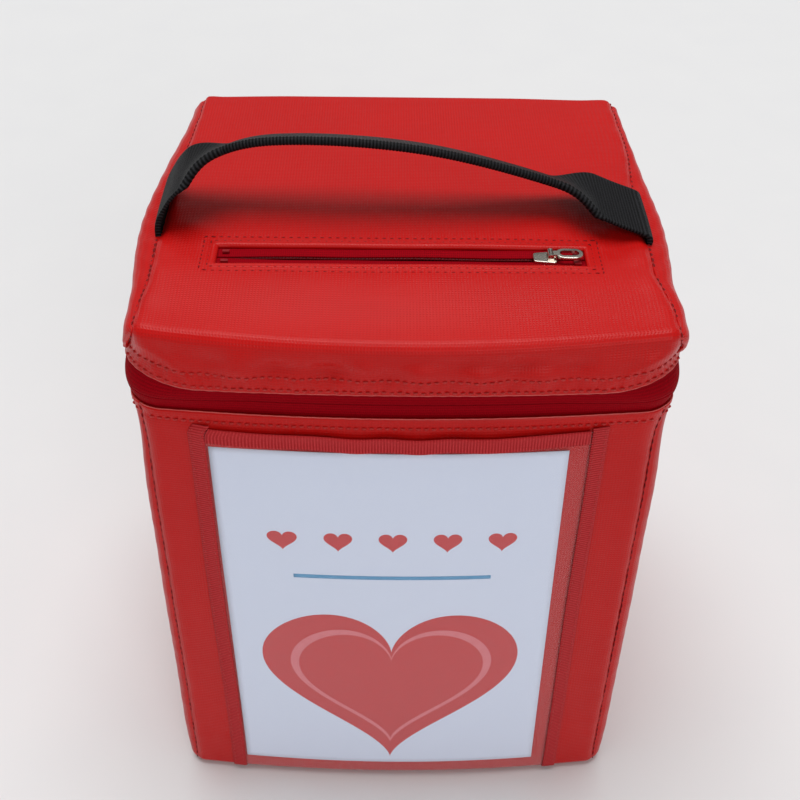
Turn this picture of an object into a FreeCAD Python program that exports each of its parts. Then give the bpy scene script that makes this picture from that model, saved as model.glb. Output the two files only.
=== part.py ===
import FreeCAD, Part

import os

from FreeCAD import Placement, Rotation, Vector

# A soft donation box, in millimetres. A tub sewn from coated fabric is held in shape by stiff boards.
# A zip round its front and sides frees the lid, which swings back on a fabric strip. The lid has a
# zipped money slot and a webbing handle, and the front has a clear pocket with a card.
# The origin is on the floor under the middle of the box. +Z is up and the front faces -Y.

# Overall sizes, outside the fabric
box_width = 228.0
box_depth = 210.0
tub_height = 254.0       # floor to the tub's hem
zip_band = 13.0          # bare zip tape between the two hems
lid_height = 29.0        # lid's hem to its top
corner_radius = 8.0      # upright corners
soft_corner = 26.0       # corners at the zip, which the linings follow and the boards stop short of
lid_edge_radius = 7.0    # soft top edge of the lid

# Sheet thicknesses
skin = 0.8               # coated fabric of the panels and of the hinge strip
board = 3.0              # stiffener boards
lining = 0.4             # lining fabric
tape = 0.6               # zip tape
ribbon = 0.4             # ribbon round the pocket
window = 0.4             # clear sheet of the pocket
card = 0.3               # paper card
webbing = 1.6            # handle webbing

# Clearances
board_gap = 0.3          # round the edges of the boards
lip_gap = 0.2            # lining's lip to the zip tape
plate_gap = 0.15         # slider plates to the tape and coils
pin_gap = 0.06           # pull's eye round its pin
seam_gap = 0.1           # webbing in its seam slit
grip_gap = 0.05          # folded grip to its risers

# Lid zip
tape_overlap = 8.0       # tape sewn behind each hem
zip_parting = 0.8        # between the two tape edges
coil_height = 1.8
coil_depth = 1.4
lid_lining_inset = 2.0   # lid's lining in from the outside of the lid
lid_lining_rise = 1.0    # lid's lining above the lid's hem
lid_board_inset = 12.0   # lid's board in from the outside of the lid
base_board_corner = 10.0
hinge_offset = 0.6       # lid's turning line behind the back of the box

# Money slot
slot_length = 159.0      # window in the lid's fabric
slot_width = 13.0
slot_centre_y = -46.0
slot_centre_x = -1.0
slot_sewn = 6.5          # tape sewn under the fabric round the window
slit_width = 5.6         # parted tape edges
coil_overhang = 0.3      # coil past its tape's edge
cutout_margin = 2.0      # opening in the lining round the window
stop_length = 3.0
stop_width = 1.6
stop_height = 0.8
end_stop_inset = 2.0     # stops in from the ends of the window

# Sliders and pulls
slider_length = 10.0
slider_width = 9.0
slider_tail_width = 6.4
slider_plate = 1.2
slider_corner = 1.4
slider_edge = 0.35
post_length = 3.0
slot_post_width = 3.0
zip_post_width = 0.5
pin_radius = 0.6
pin_offset = 2.4         # pin's centre ahead of the slider's middle
ear_thickness = 1.0
ear_length = 2.6
pull_length = 14.0       # pin's centre to the tip
pull_width = 7.2
pull_thickness = 1.4
pull_rim = 1.7           # metal round the pull's hole
pull_eye_width = 3.2
pull_eye_wall = 0.64     # metal round the eye's bore
ear_gap = 0.15           # each side of the pull's eye, and under it
slot_slider_inset = 17.5  # slider's middle to the right end of the window
zip_slider_inset = 24.0  # slider's middle to the back end of the zip

# Handle
webbing_width = 38.0
handle_centre_y = -15.0
handle_rise = 36.0       # centre line above the lid
tail_gap = 0.6           # webbing's sewn end above the lid's lining
grip_share = (0.29, 0.71)  # folded grip, as shares of the webbing's length
flat_share = (0.09, 0.91)  # webbing is still flat outside these
grip_tilt = 18.0         # grip's back edge hangs lower, in degrees
riser_sections = 12      # cross-sections along each riser
grip_sections = 9
# Centre line, as shares of the half span and of the rise: steep on the left, easy on the right
handle_line = [
    (-1.0, 0.0), (-1.0, 0.3), (-0.96, 0.6), (-0.84, 0.84), (-0.62, 0.97), (-0.28, 1.0),
    (0.12, 0.9), (0.5, 0.67), (0.8, 0.39), (0.95, 0.19), (1.0, 0.06),
]

# Card pocket
pocket_width = 175.0     # over the side tapes
pocket_foot = 2.0        # pocket's lower edge above the floor
pocket_drop = 8.0        # pocket's mouth below the tub's hem
pocket_gap = 1.2         # clear sheet in front of the panel
tape_width = 7.0
tape_rise = 2.0          # side tapes above the clear sheet
binding_height = 6.0
card_spare = 4.2         # room beside the card
card_drop = 9.9          # card's top below the pocket's mouth
card_gap = 0.3           # card in front of the panel
card_side_gap = 0.6      # card to the pocket's left side
card_seat_gap = 0.1      # card above the pocket's sewn lower strip
pocket_floor = 2.0       # height of that strip

# Places worked out from the sizes above
half_width = box_width / 2
half_depth = box_depth / 2
seam_x = half_width - corner_radius
zip_end_y = half_depth - corner_radius
lid_hem = tub_height + zip_band
lid_top = lid_hem + lid_height
zip_line = tub_height + zip_band / 2
board_top = tub_height - tape_overlap - board_gap
lid_board_top = lid_top - skin
lid_board_low = lid_board_top - board
slot_left = slot_centre_x - slot_length / 2
slot_right = slot_centre_x + slot_length / 2
slot_tape_half = slot_width / 2 + slot_sewn
front_face = -half_depth
pocket_top = tub_height - pocket_drop
lid_round = min(lid_edge_radius, corner_radius - skin)
pull_eye_radius = pin_radius + pin_gap + pull_eye_wall
pin_height = pull_eye_radius + ear_gap
far = box_width + box_depth + lid_top


def slab(x0, x1, y0, y1, z0, z1):
    """A plain block between two corners."""
    return Part.makeBox(x1 - x0, y1 - y0, z1 - z0, Vector(x0, y0, z0))


def edges_where(shape, test):
    """The edges of a shape whose box passes a test."""
    return [edge for edge in shape.Edges if test(edge.BoundBox)]


def upright_edges(shape):
    """Edges that run along Z."""
    return edges_where(shape, lambda b: b.XLength < 1e-6 and b.YLength < 1e-6)


def rounded_block(inset, low, high, radius=None):
    """The box's plan, drawn in by an inset, between two heights."""
    x = half_width - inset
    y = half_depth - inset
    block = slab(-x, x, -y, y, low, high)
    return block.makeFillet(corner_radius - inset if radius is None else radius, upright_edges(block))


def lining_block(inset, low, high):
    """The same plan with the wider corners of the zip."""
    return rounded_block(inset, low, high, soft_corner - inset)


def wall_ring(inset, thickness, low, high):
    """A wall that follows the box's plan all round."""
    return rounded_block(inset, low, high).cut(rounded_block(inset + thickness, low, high))


def keep(x0=-far, x1=far, y0=-far, y1=far):
    """A tall block that keeps one stretch of the plan, far past the box where no limit is given."""
    return slab(x0, x1, y0, y1, -far, far)


middle = keep(x0=-seam_x, x1=seam_x)
left_side = keep(x1=-seam_x)
right_side = keep(x0=seam_x)
front_half = keep(y1=0)
back_half = keep(y0=0)
zip_side = keep(y1=zip_end_y)
hinge_side = keep(y0=zip_end_y)


def tub_pieces():
    """Fabric panels, stiffener boards and lining of the tub."""
    wall = wall_ring(0, skin, skin, tub_height)
    deck = skin + board
    inner_x = half_width - skin
    inner_y = half_depth - skin
    board_x = half_width - soft_corner
    board_y = half_depth - soft_corner
    pouch = lining_block(deck, deck, board_top + lining)
    hollow = lining_block(deck + lining, deck + lining, board_top + lining)
    lip = lining_block(2 * skin + lip_gap, board_top, board_top + lining)
    return {
        "tub_front_panel": wall.common(middle).common(front_half),
        "tub_back_panel": wall.common(middle).common(back_half),
        "tub_left_gusset": wall.common(left_side),
        "tub_right_gusset": wall.common(right_side),
        "tub_base_panel": rounded_block(0, 0, skin),
        "tub_base_board": rounded_block(skin + board_gap, skin, deck, base_board_corner),
        "tub_front_board": slab(-board_x, board_x, -inner_y, -inner_y + board, deck, board_top),
        "tub_back_board": slab(-board_x, board_x, inner_y - board, inner_y, deck, board_top),
        "tub_left_board": slab(-inner_x, -inner_x + board, -board_y, board_y, deck, board_top),
        "tub_right_board": slab(inner_x - board, inner_x, -board_y, board_y, deck, board_top),
        "tub_lining": pouch.fuse(lip).cut(hollow).removeSplitter(),
    }


def lid_pieces():
    """Fabric, board and lining of the lid. The middle panel runs over the front, the top and the back."""

    def cap(inset, low, high, radius):
        block = rounded_block(inset, low, high)
        return block.makeFillet(radius, edges_where(block, lambda b: b.ZMin > high - 1e-6))

    shell = cap(0, lid_hem, lid_top, lid_round).cut(
        cap(skin, lid_hem - skin, lid_top - skin, lid_round - skin)
    )
    slot = slab(
        slot_left, slot_right, slot_centre_y - slot_width / 2, slot_centre_y + slot_width / 2,
        lid_hem, lid_top + skin,
    )
    slit_x = seam_x + webbing + 2 * seam_gap
    slit_y = webbing_width / 2 + seam_gap
    seam_slits = [
        slab(*sorted((side * seam_x, side * slit_x)), handle_centre_y - slit_y,
             handle_centre_y + slit_y, lid_board_low, lid_top + skin)
        for side in (-1, 1)
    ]
    board_x = half_width - lid_board_inset
    board_y = half_depth - lid_board_inset
    tape_room = slab(
        slot_left - slot_sewn - board_gap, slot_right + slot_sewn + board_gap,
        slot_centre_y - slot_tape_half - board_gap, slot_centre_y + slot_tape_half + board_gap,
        lid_hem, lid_top,
    )
    lining_hole = slab(
        slot_left - cutout_margin, slot_right + cutout_margin,
        slot_centre_y - slot_width / 2 - cutout_margin,
        slot_centre_y + slot_width / 2 + cutout_margin, lid_hem, lid_top,
    )
    lining_cap = lining_block(lid_lining_inset, lid_hem + lid_lining_rise, lid_board_low)
    lining_hollow = lining_block(lid_lining_inset + lining, lid_hem, lid_board_low - lining)
    return {
        "lid_top_panel": shell.common(middle).cut(slot),
        "lid_left_band": shell.common(left_side).cut(seam_slits[0]),
        "lid_right_band": shell.common(right_side).cut(seam_slits[1]),
        "lid_board": slab(
            -board_x, board_x, -board_y, board_y, lid_board_low, lid_board_top
        ).cut(tape_room),
        "lid_lining": lining_cap.cut(lining_hollow).cut(lining_hole),
    }


def zip_pieces():
    """The two tapes and coils of the lid's zip, and the fabric strip that the lid swings on."""
    half_gap = zip_parting / 2
    coil_inset = skin + tape
    low_tape = wall_ring(skin, tape, tub_height - tape_overlap, zip_line - half_gap)
    high_tape = wall_ring(skin, tape, zip_line + half_gap, lid_hem + tape_overlap)
    low_coil = wall_ring(coil_inset, coil_depth, zip_line - half_gap - coil_height, zip_line - half_gap)
    high_coil = wall_ring(coil_inset, coil_depth, zip_line + half_gap, zip_line + half_gap + coil_height)
    strip = wall_ring(skin, skin, tub_height - tape_overlap, lid_hem + tape_overlap)
    return {
        "tub_zip_tape": low_tape.common(zip_side),
        "lid_zip_tape": high_tape.common(zip_side),
        "tub_zip_coil": low_coil.common(zip_side),
        "lid_zip_coil": high_coil.common(zip_side),
        "hinge_strip": strip.common(hinge_side),
    }


def slot_pieces():
    """Tapes, coils and end stops of the money slot's zip, hung under the lid's fabric."""
    tape_top = lid_top - skin
    tape_low = tape_top - tape
    coil_low = tape_low - coil_depth
    tape_edge = slit_width / 2
    coil_edge = tape_edge - coil_overhang
    x0 = slot_left - slot_sewn
    x1 = slot_right + slot_sewn
    pieces = {}
    for name, side in (("front", -1), ("back", 1)):
        tape_y = sorted(slot_centre_y + side * d for d in (tape_edge, slot_tape_half))
        coil_y = sorted(slot_centre_y + side * d for d in (coil_edge, coil_edge + coil_height))
        pieces[f"slot_{name}_tape"] = slab(x0, x1, *tape_y, tape_low, tape_top)
        pieces[f"slot_{name}_coil"] = slab(slot_left, slot_right, *coil_y, coil_low, tape_low)
    stop_high = tape_top + stop_height
    left_stops = [
        slab(slot_left + end_stop_inset, slot_left + end_stop_inset + stop_length,
             *sorted(slot_centre_y + side * d for d in (tape_edge, tape_edge + stop_width)),
             tape_top, stop_high)
        for side in (-1, 1)
    ]
    reach = tape_edge + stop_width
    right_stop = slab(
        slot_right - end_stop_inset - stop_length, slot_right - end_stop_inset,
        slot_centre_y - reach, slot_centre_y + reach, tape_top, stop_high,
    )
    pieces["slot_end_stops"] = Part.makeCompound(left_stops + [right_stop])
    return pieces


def slider(post_width):
    """A zip slider along X with its outside facing +Z. Z is 0 on the tape's outer face."""
    tail = slider_tail_width / 2
    mouth = slider_width / 2
    back = -slider_length / 2
    front = slider_length / 2
    outline = [(back, -tail), (front, -mouth), (front, mouth), (back, tail)]

    def plate(low, rounded_face):
        wire = Part.makePolygon([Vector(x, y, low) for x, y in outline + outline[:1]])
        solid = Part.Face(wire).extrude(Vector(0, 0, slider_plate))
        solid = solid.makeFillet(slider_corner, upright_edges(solid))
        level = low + slider_plate if rounded_face > 0 else low
        rim = edges_where(solid, lambda b: b.ZLength < 1e-6 and abs(b.ZMin - level) < 1e-6)
        return solid.makeFillet(slider_edge, rim)

    inner_top = -(tape + coil_depth + plate_gap)
    outer_low = plate_gap
    outer_top = outer_low + slider_plate
    post = slab(
        -post_length, 0, -post_width / 2, post_width / 2,
        inner_top - slider_plate / 2, outer_low + slider_plate / 2,
    )
    pin_z = outer_top + pin_height
    eye_side = pull_eye_width / 2 + ear_gap
    ears = []
    for side in (-1, 1):
        y0, y1 = sorted((side * eye_side, side * (eye_side + ear_thickness)))
        ear = slab(
            pin_offset - ear_length / 2, pin_offset + ear_length / 2, y0, y1,
            outer_top - slider_plate / 2, pin_z + pin_radius * 2,
        )
        crown = edges_where(ear, lambda b: b.YLength > b.XLength + b.ZLength and b.ZMin > pin_z)
        ears.append(ear.makeFillet(ear_length / 2 - slider_edge, crown))
    pin_half = eye_side + ear_thickness / 2
    pin = Part.makeCylinder(
        pin_radius, 2 * pin_half, Vector(pin_offset, -pin_half, pin_z), Vector(0, 1, 0)
    )
    body = plate(outer_low, 1).fuse(
        [plate(inner_top - slider_plate, -1), post, pin] + ears
    )
    return body.removeSplitter()


def stadium(x0, x1, width, low, high):
    """A flat bar along X with round ends."""
    r = width / 2
    a, b = x0 + r, x1 - r
    sides = [
        Part.makeLine(Vector(a, -r, low), Vector(b, -r, low)),
        Part.Arc(Vector(b, -r, low), Vector(x1, 0, low), Vector(b, r, low)).toShape(),
        Part.makeLine(Vector(b, r, low), Vector(a, r, low)),
        Part.Arc(Vector(a, r, low), Vector(x0, 0, low), Vector(a, -r, low)).toShape(),
    ]
    return Part.Face(Part.Wire(sides)).extrude(Vector(0, 0, high - low))


def pull():
    """A looped zip pull along +X that turns about Y at its eye, which is at the origin."""
    half = pull_thickness / 2
    loop_start = pull_eye_radius + pull_rim
    loop = stadium(loop_start - pull_rim / 2, pull_length, pull_width, -half, half)
    hole = stadium(
        loop_start + pull_rim / 2, pull_length - pull_rim, pull_width - 2 * pull_rim,
        -pull_thickness, pull_thickness,
    )
    rim = edges_where(loop, lambda b: b.ZLength < 1e-6)
    loop = loop.makeFillet(slider_edge, rim).cut(hole)
    neck = slab(0, loop_start + pull_rim / 2, -pull_eye_width / 2, pull_eye_width / 2, -half, half)
    along = Vector(0, 1, 0)
    start = Vector(0, -pull_eye_width / 2, 0)
    eye = Part.makeCylinder(pull_eye_radius, pull_eye_width, start, along)
    bore = Part.makeCylinder(pin_radius + pin_gap, pull_eye_width, start, along)
    return loop.fuse([neck, eye]).cut(bore).removeSplitter()


def slider_pieces():
    """The money slot's slider and pull, and those of the lid's zip on the box's right side."""
    pin_place = Vector(pin_offset, 0, plate_gap + slider_plate + pin_height)
    slot_place = Placement(
        Vector(slot_right - slot_slider_inset, slot_centre_y, lid_top - skin), Rotation()
    )
    # On the right side the slider's X, Y and Z lie along the box's Y, Z and X.
    turned = Rotation(Vector(1, 1, 1), 120)
    zip_place = Placement(
        Vector(half_width - skin, zip_end_y - zip_slider_inset, zip_line), turned
    )
    on_pin = Placement(pin_place, Rotation())
    pieces = {
        "slot_slider": (slider(slot_post_width), slot_place),
        "slot_pull": (pull(), slot_place * on_pin),
        "zip_slider": (slider(zip_post_width), zip_place),
        "zip_pull": (pull(), zip_place * on_pin),
    }
    for name, (shape, place) in pieces.items():
        shape.Placement = place
        print(name, "is placed at", place.Base)
    return {name: shape for name, (shape, place) in pieces.items()}


def handle_pieces():
    """Webbing from side seam to side seam: flat risers, and a grip folded double between them."""
    half_span = seam_x + seam_gap + webbing / 2
    tail_z = lid_board_low + tail_gap
    points = [Vector(u * half_span, handle_centre_y, lid_top + v * handle_rise) for u, v in handle_line]
    tails = [Vector(side * half_span, handle_centre_y, tail_z) for side in (-1, 1)]
    curve = Part.BSplineCurve()
    curve.interpolate([tails[0]] + points + [tails[1]])
    line = curve.toShape()

    def folded(share):
        """How far the webbing is folded: 0 where it is flat, 1 on the grip."""
        ends = (share - flat_share[0], flat_share[1] - share)
        runs = (grip_share[0] - flat_share[0], flat_share[1] - grip_share[1])
        t = max(0.0, min(1.0, ends[0] / runs[0], ends[1] / runs[1]))
        return t * t * (3 - 2 * t)

    def section(share):
        """A rectangle square to the centre line. The front half is tucked under the back half."""
        at = line.getParameterByLength(share * line.Length)
        along = line.tangentAt(at)
        fold = folded(share)
        across = Rotation(along, -grip_tilt * fold).multVec(Vector(0, 1, 0))
        normal = along.cross(across)
        width = webbing_width * (1 - fold / 2)
        thickness = webbing * (1 + fold)
        centre = line.valueAt(at) + Vector(0, fold * webbing_width / 4, 0)
        corners = [
            centre + across * (a * width / 2) + normal * (b * thickness / 2)
            for a, b in ((-1, -1), (1, -1), (1, 1), (-1, 1))
        ]
        return Part.makePolygon(corners + corners[:1])

    def stretch(start, end, count):
        shares = [start + (end - start) * i / (count - 1) for i in range(count)]
        return Part.makeLoft([section(s) for s in shares], True, True)

    gap_share = grip_gap / line.Length
    print("handle webbing length", round(line.Length, 1))
    return {
        "handle_left_riser": stretch(0.0, grip_share[0] - gap_share, riser_sections),
        "handle_grip": stretch(grip_share[0], grip_share[1], grip_sections),
        "handle_right_riser": stretch(grip_share[1] + gap_share, 1.0, riser_sections),
    }


def pocket_pieces():
    """Clear pocket on the front panel, its ribbons, and the card inside."""
    out = front_face - pocket_gap
    half = pocket_width / 2
    inner = half - tape_width
    tray = slab(-inner, inner, out - window, front_face, pocket_foot, pocket_top)
    room = slab(
        -inner + window, inner - window, out, front_face, pocket_foot + pocket_floor, pocket_top
    )
    flanges = [
        slab(*sorted((side * inner, side * half)), front_face - window, front_face, pocket_foot, pocket_top)
        for side in (-1, 1)
    ]
    face = front_face - window
    tapes = {
        name: slab(*sorted((side * inner, side * half)), face - ribbon, face, pocket_foot,
                   pocket_top + tape_rise)
        for name, side in (("left", -1), ("right", 1))
    }
    bound = inner - window
    binding_low = pocket_top - binding_height
    binding = slab(-bound, bound, out - window - ribbon, out + ribbon, binding_low, pocket_top + ribbon)
    sheet_edge = slab(-bound, bound, out - window, out, binding_low, pocket_top)
    card_left = -inner + window + card_side_gap
    card_right = card_left + 2 * (inner - window) - card_spare
    card_foot = pocket_foot + pocket_floor + card_seat_gap
    return {
        "pocket_window": tray.cut(room).fuse(flanges).removeSplitter(),
        "pocket_left_tape": tapes["left"],
        "pocket_right_tape": tapes["right"],
        "pocket_top_binding": binding.cut(sheet_edge),
        "card": slab(
            card_left, card_right, front_face - card_gap - card, front_face - card_gap,
            card_foot, pocket_top - card_drop,
        ),
    }


def main():
    os.makedirs("parts", exist_ok=True)
    pieces = {}
    for group in (
        tub_pieces, lid_pieces, zip_pieces, slot_pieces, slider_pieces, handle_pieces, pocket_pieces
    ):
        pieces.update(group())
    for name, shape in pieces.items():
        solids = len(shape.Solids)
        if solids == 0 or not shape.isValid():
            raise ValueError(f"{name} is not a valid solid")
        shape.exportStep(f"parts/{name}.step")
        print(f"{name}: {solids} solid(s), {shape.Volume / 1000:.2f} cm3")
    print("lid turns at", half_depth + hinge_offset, zip_line)


main()
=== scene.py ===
# %% [markdown]
# # A soft donation box
# The real box is sewn from red tarpaulin round stiff boards. A zip frees its lid, the lid has a zipped
# money slot and a webbing handle, and a clear pocket on the front holds a card.
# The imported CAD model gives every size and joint. This lesson dresses it: each piece of cloth is a
# function of two parameters, worked out on a grid with numpy, and each finish is a small node tree.

import bmesh
import bpy
import numpy as np
from mathutils import Matrix, Vector


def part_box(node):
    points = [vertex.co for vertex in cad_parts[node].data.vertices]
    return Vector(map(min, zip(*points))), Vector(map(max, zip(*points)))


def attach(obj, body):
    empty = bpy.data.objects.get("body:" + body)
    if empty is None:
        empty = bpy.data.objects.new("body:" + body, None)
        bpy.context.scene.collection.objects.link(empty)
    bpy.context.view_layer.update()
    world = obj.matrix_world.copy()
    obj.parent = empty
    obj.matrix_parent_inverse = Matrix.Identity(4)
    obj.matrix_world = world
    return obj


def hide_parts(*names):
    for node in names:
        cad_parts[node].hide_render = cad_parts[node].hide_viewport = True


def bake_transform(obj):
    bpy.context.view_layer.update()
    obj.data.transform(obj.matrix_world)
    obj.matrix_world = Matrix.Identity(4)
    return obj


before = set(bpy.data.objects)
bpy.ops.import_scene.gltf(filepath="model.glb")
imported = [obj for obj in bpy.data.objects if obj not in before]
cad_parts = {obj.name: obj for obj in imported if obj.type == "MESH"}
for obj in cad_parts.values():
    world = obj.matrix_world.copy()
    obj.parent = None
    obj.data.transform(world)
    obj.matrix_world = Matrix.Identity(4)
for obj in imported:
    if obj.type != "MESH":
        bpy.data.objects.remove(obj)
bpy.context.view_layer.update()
MM = 0.001  # shapes are worked out in millimetres, and meshes are in metres

# %% [markdown]
# ## Sizes
# The imported model knows where every CAD piece is, so the cloth takes its places from there and
# nothing is fitted by eye. Only what the CAD leaves out, such as how far a seam sinks, gets its own number.

# %% Sizes from the CAD model
def corners(node):
    """A CAD node's lowest and highest corner, in millimetres."""
    return [np.array(corner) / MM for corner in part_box(node)]


half_w, half_d = corners("tub_base_panel")[1][:2]
tub_hem = corners("tub_front_panel")[1][2]
lid_hem, lid_top = (corner[2] for corner in corners("lid_top_panel"))
zip_line = (tub_hem + lid_hem) / 2
print("half width", half_w, "half depth", half_d, "hems", tub_hem, lid_hem, "top", lid_top)

# %% [markdown]
# ## Steps, bumps and slopes
# Every shape below is a sum of soft steps and round bumps, moved along the normals of a grid. These few
# functions work on whole arrays, so no shape needs a loop over its points.

# %% Curves and grids
def smooth(t):
    """Smoothstep: 0 below 0, 1 above 1, and 3t^2 - 2t^3 between."""
    t = np.clip(t, 0, 1)
    return t * t * (3 - 2 * t)


def bump(distance, width):
    """A round bump of height 1: exp of minus the square of distance over width."""
    return np.exp(-((distance / width) ** 2))


def stacked(*parts):
    """Points or UVs from coordinates that broadcast against each other."""
    return np.stack(np.broadcast_arrays(*parts), -1)


def raised(flat, z):
    """Plan points, x and y, with a height z each."""
    return np.concatenate([flat, np.broadcast_to(z, flat.shape[:-1])[..., None]], -1)


def unit(vectors):
    """Vectors scaled to length 1."""
    return vectors / np.maximum(np.linalg.norm(vectors, axis=-1, keepdims=True), 1e-9)


def slope_normals(grid, closed=False):
    """Unit normals of a grid: its slope along the columns crossed with its slope along the rows."""
    wide = np.concatenate([grid[-1:], grid, grid[:1]]) if closed else grid
    normal = unit(np.cross(np.gradient(wide, axis=0), np.gradient(wide, axis=1)))
    return normal[1:-1] if closed else normal


def pushed(grid, out, closed=False):
    """A grid moved out along its normals by a distance per point."""
    return grid + slope_normals(grid, closed) * out[..., None]


def part_of(grid, index):
    """Some points of a grid, and their normals."""
    return grid[index], slope_normals(grid)[index]


def run_length(points):
    """Length along the first axis of a grid or path, from 0: the running sum of its steps."""
    steps = np.linalg.norm(np.diff(points, axis=0), axis=-1)
    return np.concatenate([np.zeros_like(steps[:1]), np.cumsum(steps, axis=0)])


def resampled(values, s, at):
    """Rows of values known at lengths s, read off at other lengths."""
    return np.stack([np.interp(at, s, column) for column in values.T], -1)


print("a quarter, half and three quarters of a soft step:", smooth(np.array([0.25, 0.5, 0.75])))

# %% [markdown]
# ## A filled box swells
# Boards, seams and zip pull the real box out of square: its front bows and leans, its lid sags, and its
# corners flare where the zip turns. Every piece is drawn square and bent by this one function at the
# end, so pieces that touch before it still touch after it.

# %% Swell of the box
FRONT_BOW = 7.5   # the front's corners lie this far behind its middle, mm
LEAN = 9.0        # the front's foot stands this far before its hem
SIDE_OUT = 0.8    # the sides' middles stand this far proud
FLARE = 4.6       # the zip pushes the front corners out this far
CORNER_OUT = 2.5  # the lid's right front corner is pulled out this far
PUFF = 6.0        # the lid's side bands puff out this far beside the handle
DROOP = 4.5       # the lid's front edge sags this far
SKEW = 6.0        # the lid's right seam strays out this far towards the back
SLOUCH = 3.0      # the lid's left back corner falls in this far
STRAY = 4.0       # the pocket's left edge lies this far outside its pattern


def bowed(points):
    """Near the front, y moves back with the square of x, most along the lid's top edge, and forward towards
    the foot. Near a side, x moves out, most at the zip's front corners and beside the handle. The lid's
    front edge sags, its back strays to the right, and the pocket's left edge to the left."""
    x, y, z = np.moveaxis(points, -1, 0)
    front = smooth((-y - 40) / (half_d - 40))
    corner = smooth((-y - 56) / 24)
    side = np.sign(x) * smooth((np.abs(x) - 80) / (half_w - 80))
    flare = bump(z - lid_hem, np.where(z > lid_hem, 9, 18))
    out = SIDE_OUT * (1 - (y / half_d) ** 2) + FLARE * corner * flare
    pull = CORNER_OUT * corner * smooth((x - 80) / (half_w - 80)) * smooth((z - lid_hem) / 20)
    band = np.sign(x) * smooth((np.abs(x) - 104) / 9) * smooth((z - lid_hem - 1) / 14)
    puff = PUFF * band * bump(y + 12, 52)
    skew = SKEW * smooth(y / 60) * bump(x - 104, 9) * smooth((z - lid_top + 14) / 10)
    slouch = SLOUCH * smooth((-x - 100) / 12) * smooth((y - 40) / 60) * smooth((z - lid_hem) / 20)
    sag = DROOP * (1 - (x / half_w) ** 2 / 2) * smooth((-y - 58) / 47) * smooth((z - lid_hem - 9) / 20)
    bow = FRONT_BOW * (1 + (smooth((z - lid_hem - 8) / 18) - bump(z - lid_hem, 8)) / 3)
    back = bow * (x / half_w) ** 2 - LEAN * np.clip(1 - z / tub_hem, 0, 1)
    below = smooth((-y - 95) / 8) * smooth((tub_hem - 3 - z) / 8)
    stray = STRAY * (0.45 + 0.55 * smooth(z / tub_hem)) * bump(x + 86, 22) * below
    return stacked(x + side * out + pull + puff + skew + slouch - stray, y + front * back, z - sag)


print("the front's corners lie", FRONT_BOW, "mm behind its middle, and its foot", LEAN, "mm before its hem")

# %% [markdown]
# ## Meshes
# Blender makes a mesh from a list of points and a list of faces. Every mesh is bowed here, on its way
# from millimetres to metres.

# %% Meshes from points
def mesh_piece(name, points, faces, material, uv=None, weld=False):
    """An object from points in millimetres and four-cornered faces, bowed with the box. A UV goes with each
    face corner."""
    mesh = bpy.data.meshes.new(name)
    mesh.from_pydata(bowed(points) * MM, [], faces)
    mesh.polygons.foreach_set("use_smooth", np.ones(len(mesh.polygons), bool))
    if uv is not None:
        mesh.uv_layers.new(name="cloth").data.foreach_set("uv", (uv * MM).astype(np.float32).ravel())
    if weld:
        weld_points(mesh)
    mesh.materials.append(material)
    mesh.validate()
    piece = bpy.data.objects.new(name, mesh)
    bpy.context.collection.objects.link(piece)
    return piece


def weld_points(mesh):
    """Merges points that coincide, which closes the poles of a ring of faces."""
    work = bmesh.new()
    work.from_mesh(mesh)
    bmesh.ops.remove_doubles(work, verts=work.verts, dist=1e-7)
    work.to_mesh(mesh)
    work.free()


def quads(cols, rows, closed=False):
    """Corner numbers of a grid's faces, as columns by rows by four. A closed grid joins its last column to
    its first."""
    i = np.arange(cols if closed else cols - 1)[:, None]
    j = np.arange(rows - 1)[None, :]
    return np.stack([i * rows + j, (i + 1) * rows + j, (i + 1) * rows + j + 1, i * rows + j + 1], -1)


def ring_piece(name, grid, material, order=1):
    """An object from a grid closed round its first axis, whose end rings shrink to poles. Order -1 turns
    its faces round."""
    cols, rows = grid.shape[:2]
    faces = quads(cols, rows, True).reshape(-1, 4) % (cols * rows)
    return mesh_piece(name, grid.reshape(-1, 3), faces[:, ::order], material, weld=True)


print("a grid of 4 by 3 points has", quads(4, 3).shape[0] * quads(4, 3).shape[1], "faces")

# %% [markdown]
# ## Cloth from a grid
# A panel could be a plane with a Solidify modifier. Working out both faces here keeps the hems' extra
# thickness in the same formula, and closes every edge and window with a rim of its own.

# %% Cloth and its place
def cloth(name, outer, thick, material, uv=None, closed=False, hole=None, weld=False):
    """Cloth with thickness: the outer grid, the same grid moved in along its normals, and a rim along
    every edge that only one face uses, so hems and windows are closed."""
    cols, rows = outer.shape[:2]
    inner = pushed(outer, -np.broadcast_to(thick, (cols, rows)), closed)
    points = np.concatenate([outer.reshape(-1, 3), inner.reshape(-1, 3)])
    count = cols * rows
    corner = quads(cols, rows, closed)
    flat_uv = np.zeros(((cols + closed) * rows, 2)) if uv is None else uv.reshape(-1, 2)
    kept = np.ones(corner.shape[:2], bool) if hole is None else ~hole
    corner = corner[kept]
    face_uv = flat_uv[corner]
    face = corner % count
    end, end_uv = np.roll(face, -1, 1), np.roll(face_uv, -1, 1)
    edge = ~np.isin(face * count + end, end * count + face)
    rim = np.stack([end[edge], face[edge], face[edge] + count, end[edge] + count], -1)
    rim_uv = np.stack([end_uv[edge], face_uv[edge], face_uv[edge], end_uv[edge]], 1)
    faces = np.concatenate([face, face[:, ::-1] + count, rim])
    used, renumbered = np.unique(faces, return_inverse=True)
    faces_uv = np.concatenate([face_uv, face_uv[:, ::-1], rim_uv])
    return mesh_piece(name, points[used], renumbered.reshape(-1, 4), material, faces_uv, weld)


def put(piece, body, slot, *nodes, flat=None, **soft):
    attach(piece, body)
    if nodes:
        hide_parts(*nodes)
    print(piece.name, len(piece.data.polygons), "faces")


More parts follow.
